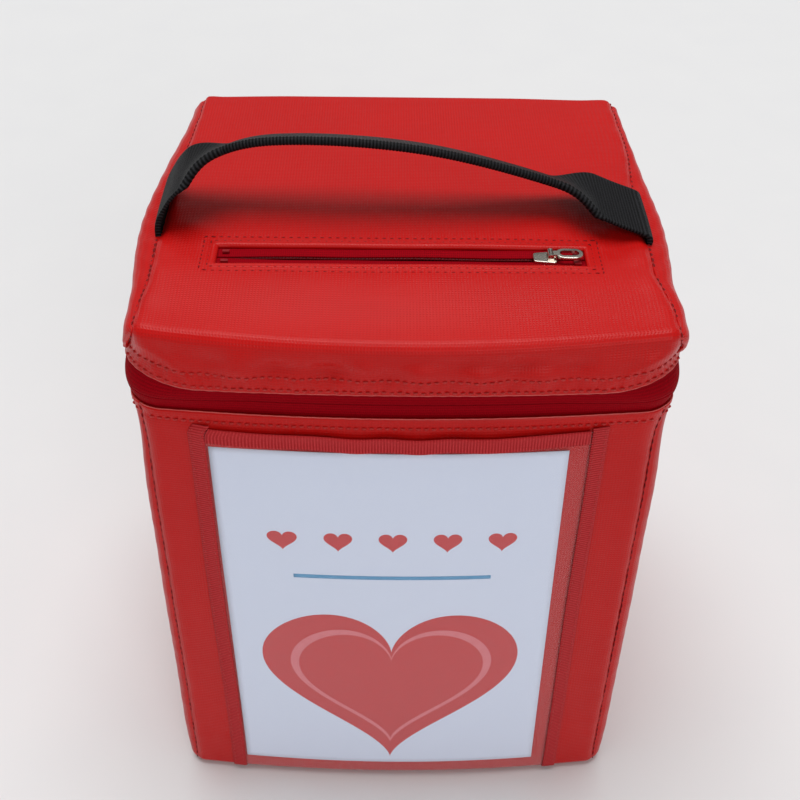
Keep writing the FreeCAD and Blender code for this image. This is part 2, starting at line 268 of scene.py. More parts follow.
# %% [markdown]
# ## Finishes
# Each finish starts from the real material. One function turns a colour as people write it into the
# linear numbers that light is added up in, and one adds a node with its settings and links.

# %% Node helpers
def linear(colour):
    """An sRGB hex colour as linear RGBA: divide by 12.92 near black, else the 2.4 power curve."""
    srgb = np.array([int(colour[i:i + 2], 16) for i in (1, 3, 5)]) / 255
    rgb = np.where(srgb <= 0.04045, srgb / 12.92, ((srgb + 0.055) / 1.055) ** 2.4)
    return (*rgb.tolist(), 1.0)


def new_material(name):
    """An empty node material."""
    material = bpy.data.materials.new(name)
    material.use_nodes = True
    material.node_tree.nodes.clear()
    return material


def add(material, kind, sockets=None, **settings):
    """Adds one node: settings are its attributes, and sockets are values or another node's outputs."""
    made = material.node_tree.nodes.new("ShaderNode" + kind)
    for key, value in settings.items():
        setattr(made, key, value)
    for key, value in (sockets or {}).items():
        if isinstance(value, bpy.types.NodeSocket):
            material.node_tree.links.new(value, made.inputs[key])
        else:
            made.inputs[key].default_value = value
    return made.outputs


FACTOR, LOW, HIGH, COLOUR = 0, 6, 7, 2  # inputs and output of a Mix node that blends colours


def bands(pitch):
    """Scale of a Wave texture whose bands repeat every pitch millimetres."""
    return 2 * np.pi / (20 * pitch * MM)


def blotches(size):
    """Scale of a Noise texture whose blotches are about size millimetres across."""
    return 1 / (size * MM)


print("middle grey #808080 is", round(linear("#808080")[0], 3), "in linear light")

# %% [markdown]
# ### Red tarpaulin
# Tarpaulin is a polyester scrim coated with soft PVC. The coating is satin and the scrim shows through
# as a fine grid, so the finish needs an even red, two crossed sets of threads in the bump, shade painted
# between the threads, and a roughness that wanders a little. The threads follow each panel's own UV map,
# as they do in cut cloth.

# %% Tarpaulin
THREAD = 1.35  # scrim thread spacing in mm


def woven_grid(material, across, along):
    """Two crossed sets of threads on the UV map: the higher of two Wave textures, one each way."""
    place = add(material, "TexCoord")["UV"]
    uneven = {"Vector": place, "Distortion": 0.4, "Detail": 1.0}
    sets = [add(material, "TexWave", {**uneven, "Scale": bands(pitch)}, bands_direction=way)["Fac"]
            for pitch, way in ((across, "X"), (along, "Y"))]
    return place, add(material, "Math", {0: sets[0], 1: sets[1]}, operation="MAXIMUM")["Value"]


def finish(material, sockets, height, strength, depth):
    """Ends a material: a bump of a depth in millimetres, the Principled shader and the output."""
    normal = add(material, "Bump", {"Height": height, "Strength": strength, "Distance": depth * MM})["Normal"]
    shader = add(material, "BsdfPrincipled", {**sockets, "Normal": normal})["BSDF"]
    add(material, "OutputMaterial", {"Surface": shader})
    return material


def make_tarpaulin():
    """Satin coated cloth: slow blotches of red, painted shade between threads, and roughness from finer
    blotches.
    """
    material = new_material("red_pvc_tarpaulin")
    place, threads = woven_grid(material, THREAD, THREAD)
    slow = add(material, "TexNoise", {"Vector": place, "Scale": blotches(45), "Detail": 3.0})["Fac"]
    fine = add(material, "TexNoise", {"Vector": place, "Scale": blotches(6), "Detail": 5.0})["Fac"]
    tone = add(material, "Mix", {FACTOR: slow, LOW: linear("#bd0d0b"), HIGH: linear("#ca120f")},
               data_type="RGBA")[COLOUR]
    # Painted shade: the red darkens towards #8c0f10 in the valleys between the scrim's threads.
    dip = add(material, "MapRange", {"Value": threads, "To Min": 0.77, "To Max": 1.0})["Result"]
    shaded = add(material, "Mix", {FACTOR: dip, LOW: linear("#8c0f10"), HIGH: tone}, data_type="RGBA")[COLOUR]
    rough = add(material, "MapRange", {"Value": fine, "From Min": 0.3, "From Max": 0.7,
                                       "To Min": 0.28, "To Max": 0.40})["Result"]
    relief = add(material, "Math", {0: threads, 1: fine}, operation="ADD")["Value"]
    sockets = {"Base Color": shaded, "Roughness": rough, "IOR": 1.52, "Specular IOR Level": 0.18}
    return finish(material, sockets, relief, 0.7, 0.14)


tarpaulin = make_tarpaulin()
print(tarpaulin.name, "threads every", THREAD, "mm")

# %% [markdown]
# ### Woven tapes, ribbon, webbing and lining
# These are all narrow or plain weaves of polyester: matt, with ribs across them. They differ in colour
# and in rib spacing, so one recipe with three settings serves them all. Their colour is painted paler on
# each rib's crest as a highlight and darker between ribs as shade. A little sheen is the light that loose
# fibres catch at a glancing angle.

# %% Woven finishes
def make_weave(name, dark, light, rib, rib_along, depth, roughness, gloss):
    """Ribbed weave: bump follows crossed ribs; colour has painted highlights on their crests and painted
    shade between, with fibre noise.
    """
    material = new_material(name)
    place, ribs = woven_grid(material, rib, rib_along)
    fibre = add(material, "TexNoise", {"Vector": place, "Scale": blotches(0.8), "Detail": 4.0})["Fac"]
    rib_light_and_fibre = add(material, "Math", {0: ribs, 1: fibre}, operation="MULTIPLY")["Value"]
    # Painted light: a rib's crest takes the light colour as a highlight, the gap between ribs the dark one as
    # shade; the fibre noise adds random tone.
    tone = add(material, "Mix", {FACTOR: rib_light_and_fibre, LOW: linear(dark), HIGH: linear(light)},
               data_type="RGBA")[COLOUR]
    rough = add(material, "MapRange", {"Value": fibre, "To Min": roughness - 0.08,
                                       "To Max": roughness + 0.08})["Result"]
    relief = add(material, "Math", {0: ribs, 1: fibre}, operation="ADD")["Value"]
    sockets = {"Base Color": tone, "Roughness": rough, "Sheen Weight": 0.15 * gloss, "Sheen Roughness": 0.4,
               "Specular IOR Level": gloss}
    return finish(material, sockets, relief, 0.6, depth)


RIB = 1.5  # ribs across the webbing, mm apart
# Tape of a zip: a fine, matt herringbone in a deep red.
zip_tape_cloth = make_weave("polyester_zip_tape", "#74000b", "#b40416", 0.9, 1.4, 0.14, 0.66, 0.03)
# Grosgrain: a ribbon with bold cross ribs, their crests painted paler as highlights.
ribbon_cloth = make_weave("grosgrain_ribbon", "#a00e14", "#e4484c", 30.0, 1.3, 0.30, 0.60, 0.15)
# Webbing: thick black yarns, ribs with painted highlights and near-black gaps of painted shade, and a dull
# shine.
webbing_cloth = make_weave("polypropylene_webbing", "#000000", "#3a3a3e", RIB, 200.0, 0.8, 0.50, 0.08)
# Lining: a thin plain weave in grey.
lining_cloth = make_weave("polyester_lining", "#4a4c50", "#85878b", 0.9, 0.9, 0.06, 0.60, 0.20)
# Threads: shiny twisted polyester, one red in two painted copies: paler along the hems as the highlights
# on their pips, darker in the seams and round the slot as the shade in the grooves.
hem_thread_painted_highlight = make_weave("polyester_hem_thread", "#a51416", "#dc4640", 0.8, 0.8, 0.05, 0.42, 0.30)
seam_thread_painted_shade = make_weave("polyester_seam_thread", "#640a0e", "#a0161a", 0.8, 0.8, 0.05, 0.50, 0.15)
print("six woven finishes, webbing ribs every", RIB, "mm")

# %% [markdown]
# ### Board, nickel, clear PVC, card and ink
# The hard and smooth finishes. Nickel plating on a cast slider is a bright, slightly warm mirror with
# fine scuffs. Clear PVC mostly lets light through, with a skin that mirrors more at a slant. The card
# is coated paper, and its print lies on it as a thin film of ink.

# %% Smooth finishes
def make_plain(name, dark, light, size, rough_low, rough_high, depth, metallic=0.0):
    """A finish on Object coordinates: blotches of a given size drive colour, roughness and bump."""
    material = new_material(name)
    place = add(material, "TexCoord")["Object"]
    grain = add(material, "TexNoise", {"Vector": place, "Scale": blotches(size), "Detail": 6.0})["Fac"]
    tone = add(material, "Mix", {FACTOR: grain, LOW: linear(dark), HIGH: linear(light)},
               data_type="RGBA")[COLOUR]
    rough = add(material, "MapRange", {"Value": grain, "From Min": 0.3, "From Max": 0.7,
                                       "To Min": rough_low, "To Max": rough_high})["Result"]
    sockets = {"Base Color": tone, "Roughness": rough, "Metallic": metallic}
    return finish(material, sockets, grain, 0.4, depth)


def make_clear_pvc():
    """Clear film: see-through, mixed with a glossy skin that shows more at a slant and is finely scuffed."""
    material = new_material("clear_pvc_film")
    place = add(material, "TexCoord")["Object"]
    scuffs = add(material, "TexNoise", {"Vector": place, "Scale": blotches(9), "Detail": 6.0})["Fac"]
    rough = add(material, "MapRange", {"Value": scuffs, "To Min": 0.08, "To Max": 0.22})["Result"]
    facing = add(material, "LayerWeight", {"Blend": 0.12})["Facing"]
    share = add(material, "MapRange", {"Value": facing, "To Min": 0.01, "To Max": 0.30})["Result"]
    skin = add(material, "BsdfPrincipled", {"Base Color": linear("#e9ecee"), "Roughness": rough})["BSDF"]
    through = add(material, "BsdfTransparent")["BSDF"]
    both = add(material, "MixShader", {0: share, 1: through, 2: skin})["Shader"]
    add(material, "OutputMaterial", {"Surface": both})
    return material


# Plated sliders and pulls: a bright, slightly warm metal with fine scuffs.
nickel = make_plain("nickel_plated_zinc", "#c9c3b6", "#ded9cf", 0.7, 0.16, 0.30, 0.01, metallic=1.0)
# Stiffeners: pressed waste paper, dull and mottled.
greyboard = make_plain("greyboard", "#a08d73", "#bba98d", 3, 0.80, 0.95, 0.08)
# The card: smooth, faintly blue white paper, and its print in three inks with a little more shine.
coated_card = make_plain("coated_card", "#dbe3f8", "#e4ebfd", 2, 0.50, 0.62, 0.01)
red_ink = make_plain("red_offset_ink", "#c4262a", "#d4363a", 4, 0.42, 0.52, 0.005)
rose_ink = make_plain("rose_offset_ink", "#dc6a72", "#e6848c", 4, 0.42, 0.52, 0.005)
blue_ink = make_plain("blue_offset_ink", "#4a90c0", "#66a8d4", 4, 0.42, 0.52, 0.005)
# Painted highlight: the thin bright line where the hems' cut edge catches the light, as a paler red.
edge_highlight_paint = make_plain("painted_hem_edge_highlight", "#c8302c", "#e2716c", 3, 0.35, 0.50, 0.01)
# Lacquered end stops and the moulded coil: dark red with a soft gloss.
red_lacquer = make_plain("red_lacquered_zinc", "#7c0710", "#96101a", 0.8, 0.30, 0.45, 0.01)
nylon_coil = make_plain("nylon_zip_coil", "#7a0612", "#a50d1a", 1.2, 0.30, 0.45, 0.02)
clear_pvc = make_clear_pvc()
print(len(bpy.data.materials), "materials in the file")

# %% [markdown]
# ## Stitches
# Every seam of the real box shows its thread. A stitch is a short tube that rises out of one needle
# hole and dives into the next. All stitches of a piece are one mesh, and each has only a few faces.

# %% Stitch maker
STITCH = 4.2  # needle holes, mm apart
HEM_STITCH = (3.3, 0.5)       # pitch and thread radius along a hem, mm
SEAM_STITCH = (STITCH, 0.34)  # the same in a seam
NEEDLE = 0.34  # how deep a needle hole pulls the cloth in, mm
RING = 6      # sides of a stitch
STEPS = 5     # rings along a stitch


def stitch_rows(name, rows, material, pitch, radius, cover=0.86, sink=0.12):
    """Tubes along rows of (path, normals): the centre lifts with sin(pi t) between two needle holes, and
    the radius swells with its root, so both ends dive into the cloth."""
    t = np.linspace(0, 1, STEPS)
    angle = np.linspace(0, 2 * np.pi, RING, endpoint=False)
    points = []
    for path, normal in rows:
        s = run_length(path)
        count = int(s[-1] // pitch)
        start = (s[-1] - count * pitch) / 2 + pitch * np.arange(count)
        at = (start[:, None] + pitch * ((1 - cover) / 2 + cover * t)).ravel()
        centre, out = (resampled(values, s, at).reshape(count, STEPS, 3) for values in (path, normal))
        side = np.cross(out, unit(np.gradient(centre, axis=1)))
        lift = radius * np.sin(np.pi * t) - sink - 0.5 * radius * (1 - np.sin(np.pi * t))
        swell = radius * np.sqrt(np.maximum(np.sin(np.pi * t), 0.03))
        ring = side[:, :, None] * np.cos(angle)[:, None] + out[:, :, None] * np.sin(angle)[:, None]
        points.append((centre + out * lift[:, None])[:, :, None] + ring * swell[:, None, None])
    points = np.concatenate(points)
    total = len(points)
    k = np.arange(RING)
    j = np.arange(STEPS - 1)[:, None]
    wall = np.stack([j * RING + k, j * RING + (k + 1) % RING, (j + 1) * RING + (k + 1) % RING,
                     (j + 1) * RING + k], -1).reshape(-1, 4)
    last = (STEPS - 1) * RING
    caps = np.array([[3, 2, 1, 0], [5, 4, 3, 0], [last, last + 1, last + 2, last + 3],
                     [last, last + 3, last + 4, last + 5]])
    one = np.concatenate([wall, caps])
    faces = (one[None] + (np.arange(total) * STEPS * RING)[:, None, None]).reshape(-1, 4)
    uv = np.zeros((len(faces), 4, 2))
    uv[..., 0] = points.reshape(-1, 3)[faces].sum(-1)
    print(name, total, "stitches")
    return mesh_piece(name, points.reshape(-1, 3), faces, material, uv)


def needle_dips(s, height, rows):
    """How far cloth is pulled in along stitch rows: a soft groove at each row's height, deeper at every
    needle hole."""
    holes = 0.55 + 0.45 * np.cos(2 * np.pi * s / STITCH)
    return sum(NEEDLE * bump(height - row, 1.0) * holes for row in rows)


print("a needle hole is", NEEDLE, "mm deep, one every", STITCH, "mm")

# %% [markdown]
# ## The tub's plan
# Seen from above the tub is a rectangle with round corners. Low down the corners are tight. At the top
# the zip can't turn that tightly, so they widen. One radius that grows with height gives both.

# %% Plan of the box
HEM_CORNER = 14.0   # corner radius at the tub's hem, mm
WALL_CORNER = 9.0   # corner radius low down
FOOT = 5.0          # radius of the wall's foot where it rolls under
SEAM_X = half_w - 4.6  # upright seams, mm from the middle
CLOTH = 0.8         # tarpaulin thickness, mm


def plan(z):
    """Half width, half depth and corner radius of the tub at height z. Its foot is a quarter round."""
    inset = FOOT - np.sqrt(np.clip(FOOT**2 - np.clip(FOOT - z, 0, FOOT) ** 2, 0, None))
    radius = WALL_CORNER + (HEM_CORNER - WALL_CORNER) * smooth((z - tub_hem + 70) / 70) ** 1.3
    return half_w - inset, half_d - inset, radius


def front_line(x, w, d, r):
    """y of the front wall at x: flat, then a round of radius r towards each side."""
    over = np.clip(np.abs(x) - (w - r), 0, 0.999 * r)
    return -(d - r + np.sqrt(r**2 - over**2))


def ripple(a, b):
    """Slow unevenness of hand-sewn cloth, about -1 to 1: a few crossing sine waves of different lengths."""
    return (0.4 * np.sin(a / 23 + 1.3 * np.sin(b / 37)) + 0.35 * np.sin(b / 19 + a / 53 + 2)
            + 0.25 * np.sin(a / 11 - b / 14 + 0.7))


wall_z = np.unique(np.concatenate([
    [0.1, 0.3, 0.7, 1.2, 1.9, 2.7, 3.6, 4.6], np.arange(6, 239, 4.0),
    tub_hem - np.array([14, 12, 10.6, 9.4, 8.4, 7.4, 6.6, 6.0, 5.4, 4.8, 4.2, 3.6, 2.8, 2, 1.3, 0.8, 0.4,
                        0.15, 0]),
]))
TUB_ROWS = (tub_hem - 4.8,)  # stitch row under the hem
print(len(wall_z), "rows of wall, corner radius", WALL_CORNER, "to", HEM_CORNER)

# %% [markdown]
# ## Front and back of the tub
# Each is one cut of tarpaulin between two upright seams. It swells a little between the seams, sinks
# into them, and is drawn in by the needle along the hem. The pocket is placed with the same formula.

# %% Front and back panels
SEAM_SPARE = 1.06  # cloth cut for a panel over its span, for the seams


def seam_dip(d, hem=99.0):
    """How cloth falls into a seam at distance d: a narrow groove with a soft shoulder beside it, shallow near
    a hem."""
    return (0.95 * bump(d, 1.5) - 0.35 * bump(d - 5, 4)) * (0.25 + 0.75 * smooth((hem - 4) / 10))


def front_swell(x, z):
    """Outward swell of the front or back cloth at x and z."""
    d = SEAM_X - np.abs(x)
    calm = smooth(z / 25) * smooth((tub_hem - z) / 25)
    puckers = 0.16 * np.exp(-np.clip(d, 0, None) / 7) * np.sin(z / 2.1 + 2 * np.sin(z / 17))
    gathers = 0.65 * bump(z - tub_hem + 13, 6) * np.sin(x / 6.5 + 2 * np.sin(x / 23)) * smooth(d / 20)
    return 0.7 * calm * smooth(d / 60) + 0.22 * calm * ripple(x, z) + puckers * calm + gathers


def hem_roll(z, edge):
    """How the very edge of a hem rolls in."""
    return 0.55 * bump(z - edge, 0.6)


def hem_thickness(z, edge):
    """Cloth is doubled along a hem, so it is thicker there."""
    return CLOTH + 0.8 * smooth((9.5 - np.abs(z - edge)) / 1.5)


def tub_dips(s, z, d):
    """How far the tub's cloth is drawn in, at a length s along the hem, a height z and a distance d from a
    seam: thread, rolled hem and seam together."""
    return needle_dips(s, z, TUB_ROWS) + hem_roll(z, tub_hem) + seam_dip(d, np.minimum(tub_hem - z, z))


def flat_panel(name, side, columns=190):
    """x along the seams' span and z up: y from the plan, moved out by swell and in by seams and stitches."""
    x, z = np.meshgrid(np.linspace(-SEAM_X, SEAM_X, columns), wall_z, indexing="ij")
    base = stacked(x, front_line(x, *plan(z)), z)
    s = run_length(base)
    grid = pushed(base, front_swell(x, z) * (1 if side < 0 else 0.4) - tub_dips(s, z, SEAM_X - np.abs(x)))
    if side > 0:
        grid = grid * [-1, -1, 1]
    piece = cloth(name + "_cloth", grid, hem_thickness(z, tub_hem), tarpaulin, stacked(s, z))
    put(piece, "tub", "red_tarpaulin", name + "_panel", flat=(2 * SEAM_X * SEAM_SPARE, tub_hem),
        rests_on=[name + "_board"])
    return grid


front_grid = flat_panel("tub_front", -1)
back_grid = flat_panel("tub_back", 1)

# %% [markdown]
# ## Side gussets
# A gusset wraps both corners of its side, from one upright seam to the other, and puffs out beside
# each seam. Its columns run round the front corner, along the side and round the back corner.

# %% Gussets
def gusset_base(columns_round=24, columns_side=170):
    """Right side: an angle from the seam to the side, a straight run, and the angle to the other seam."""
    w, d, r = (np.broadcast_to(v, wall_z.shape) for v in plan(wall_z))
    first = np.arcsin(np.clip((SEAM_X - (w - r)) / r, -1, 0.98))
    t = np.linspace(0, 1, columns_round)[:, None]
    angle = first + (np.pi / 2 - first) * t
    turn = np.stack([w - r + r * np.sin(angle), -(d - r) - r * np.cos(angle)], -1)
    u = np.linspace(-1, 1, columns_side)[1:-1, None]
    side = np.stack([w + 0 * u, u * (d - r)], -1)
    both = np.concatenate([turn, side, turn[::-1] * [1, -1]])
    return raised(both, wall_z)


def gusset(name, side):
    """The base moved out: puffed between the seams, sunk into them, and drawn in along the hem."""
    base = gusset_base()
    z = base[..., 2]
    s = run_length(base)
    d = np.minimum(s, s[-1] - s)
    calm = smooth(z / 30) * smooth((tub_hem - z) / 55)
    puckers = 0.2 * np.exp(-d / 7) * np.sin(z / 2.3 + side + 2 * np.sin(z / 15))
    out = calm * (1.9 * (1 - bump(d, 9)) + 0.3 * ripple(s + 40 * side, z) + puckers)
    grid = pushed(base, out - tub_dips(s, z, d))
    if side < 0:
        grid = grid[::-1] * [-1, 1, 1]
    return cloth(name + "_cloth", grid, hem_thickness(z, tub_hem), tarpaulin, stacked(s, z)), grid


right_gusset, right_grid = gusset("tub_right", 1)
left_gusset, left_grid = gusset("tub_left", -1)
gusset_flat = (run_length(right_grid)[-1].mean(), tub_hem)
for piece, name in ((right_gusset, "tub_right"), (left_gusset, "tub_left")):
    put(piece, "tub", "red_tarpaulin", name + "_gusset", flat=gusset_flat, rests_on=[name + "_board"])

# %% [markdown]
# ## Base
# The base is a flat cut with round corners. Rows run across it from front to back, and each row is as
# wide as the plan is there, so the outline is round with no pole in the middle.

# %% Base panel
def plate(w, d, r, columns, rows):
    """x and y over a rectangle with round corners: each row of y is as wide as the plan is there."""
    y = np.linspace(-d, d, rows) if np.isscalar(rows) else rows
    half = w - r + np.sqrt(np.clip(r**2 - np.clip(np.abs(y) - (d - r), 0, r) ** 2, 0, None))
    u = np.linspace(-1, 1, columns) if np.isscalar(columns) else columns
    return u[:, None] * half, np.ones((len(u), 1)) * y


BASE_INSET = 2.6  # the base lies this far inside the foot's roll, mm
bx, by = plate(half_w - BASE_INSET, half_d - BASE_INSET, WALL_CORNER - BASE_INSET, 80, 74)
free = smooth((half_w - FOOT - np.abs(bx)) / 12) * smooth((half_d - FOOT - np.abs(by)) / 12)
base_grid = stacked(bx, by, 0.1 * (1 - ripple(bx, by)) * free)[::-1]
base_panel = cloth("tub_base_cloth", base_grid, CLOTH, tarpaulin, base_grid[..., :2])
put(base_panel, "tub", "red_tarpaulin", "tub_base_panel", flat=(2 * half_w, 2 * half_d),
    rests_on=["tub_base_board"])

# %% [markdown]
# ## Thread on the tub
# One row runs round under the hem, and one down each upright seam.

# %% Tub stitching
def grid_row(grid, level):
    """Path and normals along the grid row nearest to a height."""
    row = np.abs(grid[0, :, 2] - level).argmin()
    return part_of(grid, np.s_[2:-2, row])


tub_grids = (front_grid, right_grid, back_grid, left_grid)
tub_rows = [grid_row(grid, level) for grid in tub_grids for level in TUB_ROWS]
tub_seams = [part_of(grid, np.s_[end, 3:]) for grid in (right_grid, left_grid) for end in (0, -1)]
put(stitch_rows("tub_hem_stitching", tub_rows, hem_thread_painted_highlight, *HEM_STITCH), "tub", "red_tarpaulin")
put(stitch_rows("tub_seam_stitching", tub_seams, seam_thread_painted_shade, *SEAM_STITCH), "tub", "red_tarpaulin")

# %% [markdown]
# ## Lid panel
# One cut runs up the front, over the top and down the back. Its profile is measured from the front hem
# along the cloth: a straight skirt, a soft fold, the top, another fold and the back skirt. Towards the
# side seams the cloth falls away on a round, wide at the hem and tight at the fold, which is what makes
# the soft triangular facet at each front corner.

# %% Lid shape
FOLD = 4.5  # radius of the soft front and back folds, mm
SKIRT = lid_top - lid_hem - FOLD
ARC = FOLD * np.pi / 2
TOP_RUN = 2 * (half_d - FOLD)
LID_RUN = 2 * (SKIRT + ARC) + TOP_RUN
LID_SEAM = half_w - 0.4  # side seams of the lid where they leave the front hem
LID_CORNER = 28.0  # front corner radius at the lid's hem
CORNER_LIFT = 2.5  # how far the hem climbs at the front corners
LID_ROWS = (1.9, 8.0)  # stitch rows above the hem


def lid_seam(run):
    """Half width of the lid panel along its run: widest at the front hem, drawn in at the handle and back."""
    back = run - SKIRT - ARC
    drawn = 3.6 * smooth(run / (SKIRT + ARC)) + 3.0 * smooth(back / 42) + 2.4 * smooth((back - 90) / 110)
    return LID_SEAM - drawn


def lid_base(x, run):
    """Profile point at this run, moved in by a round of radius r near the side seams, and its normal."""
    a = np.clip((run - SKIRT) / ARC, 0, 1) * np.pi / 2
    b = np.clip((run - SKIRT - ARC - TOP_RUN) / ARC, 0, 1) * np.pi / 2
    flat = np.clip(run - SKIRT - ARC, 0, TOP_RUN)
    y = -half_d + FOLD * (1 - np.cos(a)) + flat + FOLD * np.sin(b)
    z = (lid_hem + np.minimum(run, SKIRT) + FOLD * np.sin(a) - FOLD * (1 - np.cos(b))
         - np.clip(run - SKIRT - 2 * ARC - TOP_RUN, 0, SKIRT))
    before = run < LID_RUN / 2
    ny, nz = np.where(before, -np.cos(a), np.sin(b)), np.where(before, np.sin(a), np.cos(b))
    rise = smooth(np.minimum(run, LID_RUN - run) / (SKIRT + 0.6 * ARC))
    hem_r = np.where(before, LID_CORNER, HEM_CORNER)
    r = hem_r + (6.0 - hem_r) * rise
    w = half_w + (lid_seam(run) + 2.2 - half_w) * rise
    over = np.clip(np.abs(x) - (w - r), 0, 0.99 * r)
    fall = r - np.sqrt(r**2 - over**2)
    z = z + before * CORNER_LIFT * (1 - rise) * smooth((np.abs(x) - half_w + 32) / 30)
    return stacked(x, y - fall * ny, z - fall * nz), stacked(0 * x, ny, nz)


print("lid cloth", round(LID_RUN, 1), "mm from hem to hem")

# %% [markdown]
# The slot's window is cut from the same panel. Grid lines crowd along its edges, so that the folded
# edge can roll down into the window, and the faces inside it are left out.

# %% Slot window
def middle_of(node, axis):
    """Middle of a CAD node along one axis, in millimetres."""
    low, high = corners(node)
    return (low[axis] + high[axis]) / 2


slot_x = np.array([corner[0] for corner in corners("slot_front_coil")])
slot_mid = middle_of("slot_slider", 1)
slot_y = slot_mid + np.array([-6.5, 6.5])
ROLL = 1.1  # radius of the folded edge of the window, mm
CROWD = np.array([0, 0.12, 0.3, 0.55, 0.85, 1.15, 1.7, 2.6, 4.0])  # grid lines outside an edge
CLEARED = 4.4  # even grid lines nearer than this to an edge give way, mm


def crowded(even, edges):
    """Even grid lines, cleared near each edge and replaced by lines that crowd up to it from outside."""
    low, high = edges
    near = np.minimum(np.abs(even - low), np.abs(even - high)) < CLEARED
    return np.unique(np.concatenate([even[~near], low - CROWD, high + CROWD]))


def within(lines, edges):
    """True for each gap between neighbouring grid lines whose middle lies between two edges."""
    middle = (lines[1:] + lines[:-1]) / 2
    return (middle > edges[0]) & (middle < edges[1])


def run_of_y(y):
    """Run of the lid's cloth at a place y of its flat top."""
    return SKIRT + ARC + y + half_d - FOLD


def window_gap(x, run):
    """Distance outside the slot's window, 0 inside it."""
    low, high = run_of_y(slot_y)
    return np.hypot(np.clip(np.maximum(slot_x[0] - x, x - slot_x[1]), 0, None),
                    np.clip(np.maximum(low - run, run - high), 0, None))


skirt_runs = np.array([0, 0.15, 0.4, 0.8, 1.3, 1.9, 2.5, 3.4, 4.6, 5.8, 6.8, 7.4, 8.0, 8.6, 9.4, 11, 13, 15,
                       17, 19.5, 22])
bend_runs = np.linspace(0, ARC, 12)
lid_runs = np.concatenate([
    skirt_runs, SKIRT + bend_runs[:-1],
    crowded(SKIRT + ARC + np.linspace(0, TOP_RUN, 70), run_of_y(slot_y)),
    SKIRT + ARC + TOP_RUN + bend_runs[1:], LID_RUN - skirt_runs[::-1],
])
corner_x = np.linspace(98, LID_SEAM, 18)
lid_x = crowded(np.concatenate([-corner_x[::-1], np.linspace(-97, 97, 150), corner_x]), slot_x)
print("lid grid", len(lid_x), "by", len(lid_runs), "lines, window", np.ptp(slot_x), "by", np.ptp(slot_y))

# %% [markdown]
# The lid's relief is a sum. Each line adds one thing that the eye looks for in sewn tarpaulin: a crown,
# ripples, dents, creases at the corners, puckers along the thread, needle dips, and the roll of the
# window's edge between its two frames of stitches.

# %% Lid panel
FRAME_GAPS = (3.4, 6.5)  # stitch frames, mm outside the window
WEB_HALF = 19.0  # half width of the handle's webbing, mm
BACK_SHARE = 0.12  # the lid's back is this much as lively as its front
handle_mid_y = middle_of("handle_left_riser", 1)


def under_handle(run):
    """1 where an end of the handle presses on the seam, 0 away from it."""
    return smooth((WEB_HALF + 2 - np.abs(run - run_of_y(handle_mid_y + 4))) / 3)


def lid_swell(x, run):
    """Movement of the lid panel along its normal: crown, ripples, creases, puckers, seams and window."""
    d = lid_seam(run) - np.abs(x)
    hem = np.minimum(run, LID_RUN - run)
    calm = smooth(hem / 14)
    on_top = smooth((run - SKIRT) / ARC) * smooth((LID_RUN - SKIRT - run) / ARC)
    crown = 0.7 * bump(hem - 15, 8) * smooth(d / 45)
    ripples = 0.28 * calm * ripple(x * 1.2, run * 1.3) * smooth(d / 12)
    buckles = 3.0 * bump(hem - 14, 7) * ripple(1.9 * x + 0.9 * run, 2.6 * run - 1.1 * x) * smooth(d / 15)
    puckers = 0.45 * bump(hem - 5, 3.2) * np.sin(x / 1.25 + 2.5 * np.sin(x / 17)) * smooth(d / 12)
    dents = np.sin(x / 6.5 + run / 4) * np.sin(x / 9.5 - run / 5 + 1)
    dents = 0.9 * bump(hem - 14, 9) * dents * smooth(d / 20)
    crease = bump(np.abs(x) - (half_w - 34 + 1.3 * np.minimum(run, 22)), 2.2)
    crease = 0.5 * crease * smooth(hem / 8) * smooth((24 - hem) / 8)
    front = np.where(run < LID_RUN / 2, 1.0, BACK_SHARE)
    out = 0.9 * on_top * smooth(d / 50) + front * (crown + ripples + buckles + puckers + dents + crease)
    waves = np.sin(run / 2.6 + 2.2 * np.sin(run / 21) + np.sign(x))
    out = out + 0.22 * calm * np.exp(-np.clip(d, 0, None) / 9) * waves
    drag = bump(d - 16, 14) * bump(run - run_of_y(handle_mid_y - 20), 18)
    out = out + 0.5 * drag * np.sin((run + 0.8 * d) / 4.5) - 1.2 * under_handle(run) * bump(d, 2.4)
    out = out - seam_dip(d, hem) - needle_dips(x + LID_SEAM, hem, LID_ROWS) - hem_roll(hem, 0.0)
    gap = window_gap(x, run)
    inner, outer = FRAME_GAPS
    rolled = ROLL - np.sqrt(np.clip(ROLL**2 - (ROLL - gap) ** 2, 0, None))
    out = out - np.where(gap < ROLL, rolled, 0) + 0.35 * bump(gap - 2.0, 1.2)
    return out - 0.30 * bump(gap - inner, 0.5) - 0.30 * bump(gap - outer, 0.7)


def lid_cloth(x, run):
    """The lid's base moved along its normals by lid_swell."""
    base, normal = lid_base(x, run)
    return base + normal * lid_swell(x, run)[..., None]


lid_u = lid_x[:, None] / LID_SEAM
narrow = smooth((np.abs(lid_u) - 0.8) / 0.2) * np.sign(lid_u)
lid_gx = lid_x[:, None] - narrow * (LID_SEAM - lid_seam(lid_runs))
lid_gr = np.ones_like(lid_gx) * lid_runs
lid_grid = lid_cloth(lid_gx, lid_gr)
window = within(lid_x, slot_x)[:, None] & within(lid_runs, run_of_y(slot_y))
hem_near = np.minimum(lid_gr, LID_RUN - lid_gr)
lid_panel = cloth("lid_panel_cloth", lid_grid, hem_thickness(hem_near, 0.0), tarpaulin,
                  stacked(lid_gx, lid_gr), hole=window)
slot_area = np.ptp(slot_x) * np.ptp(slot_y)
put(lid_panel, "lid", "red_tarpaulin", "lid_top_panel", flat=(2 * LID_SEAM, LID_RUN),
    area=(2 * LID_SEAM * LID_RUN - slot_area) * MM**2, rests_on=["lid_board"])

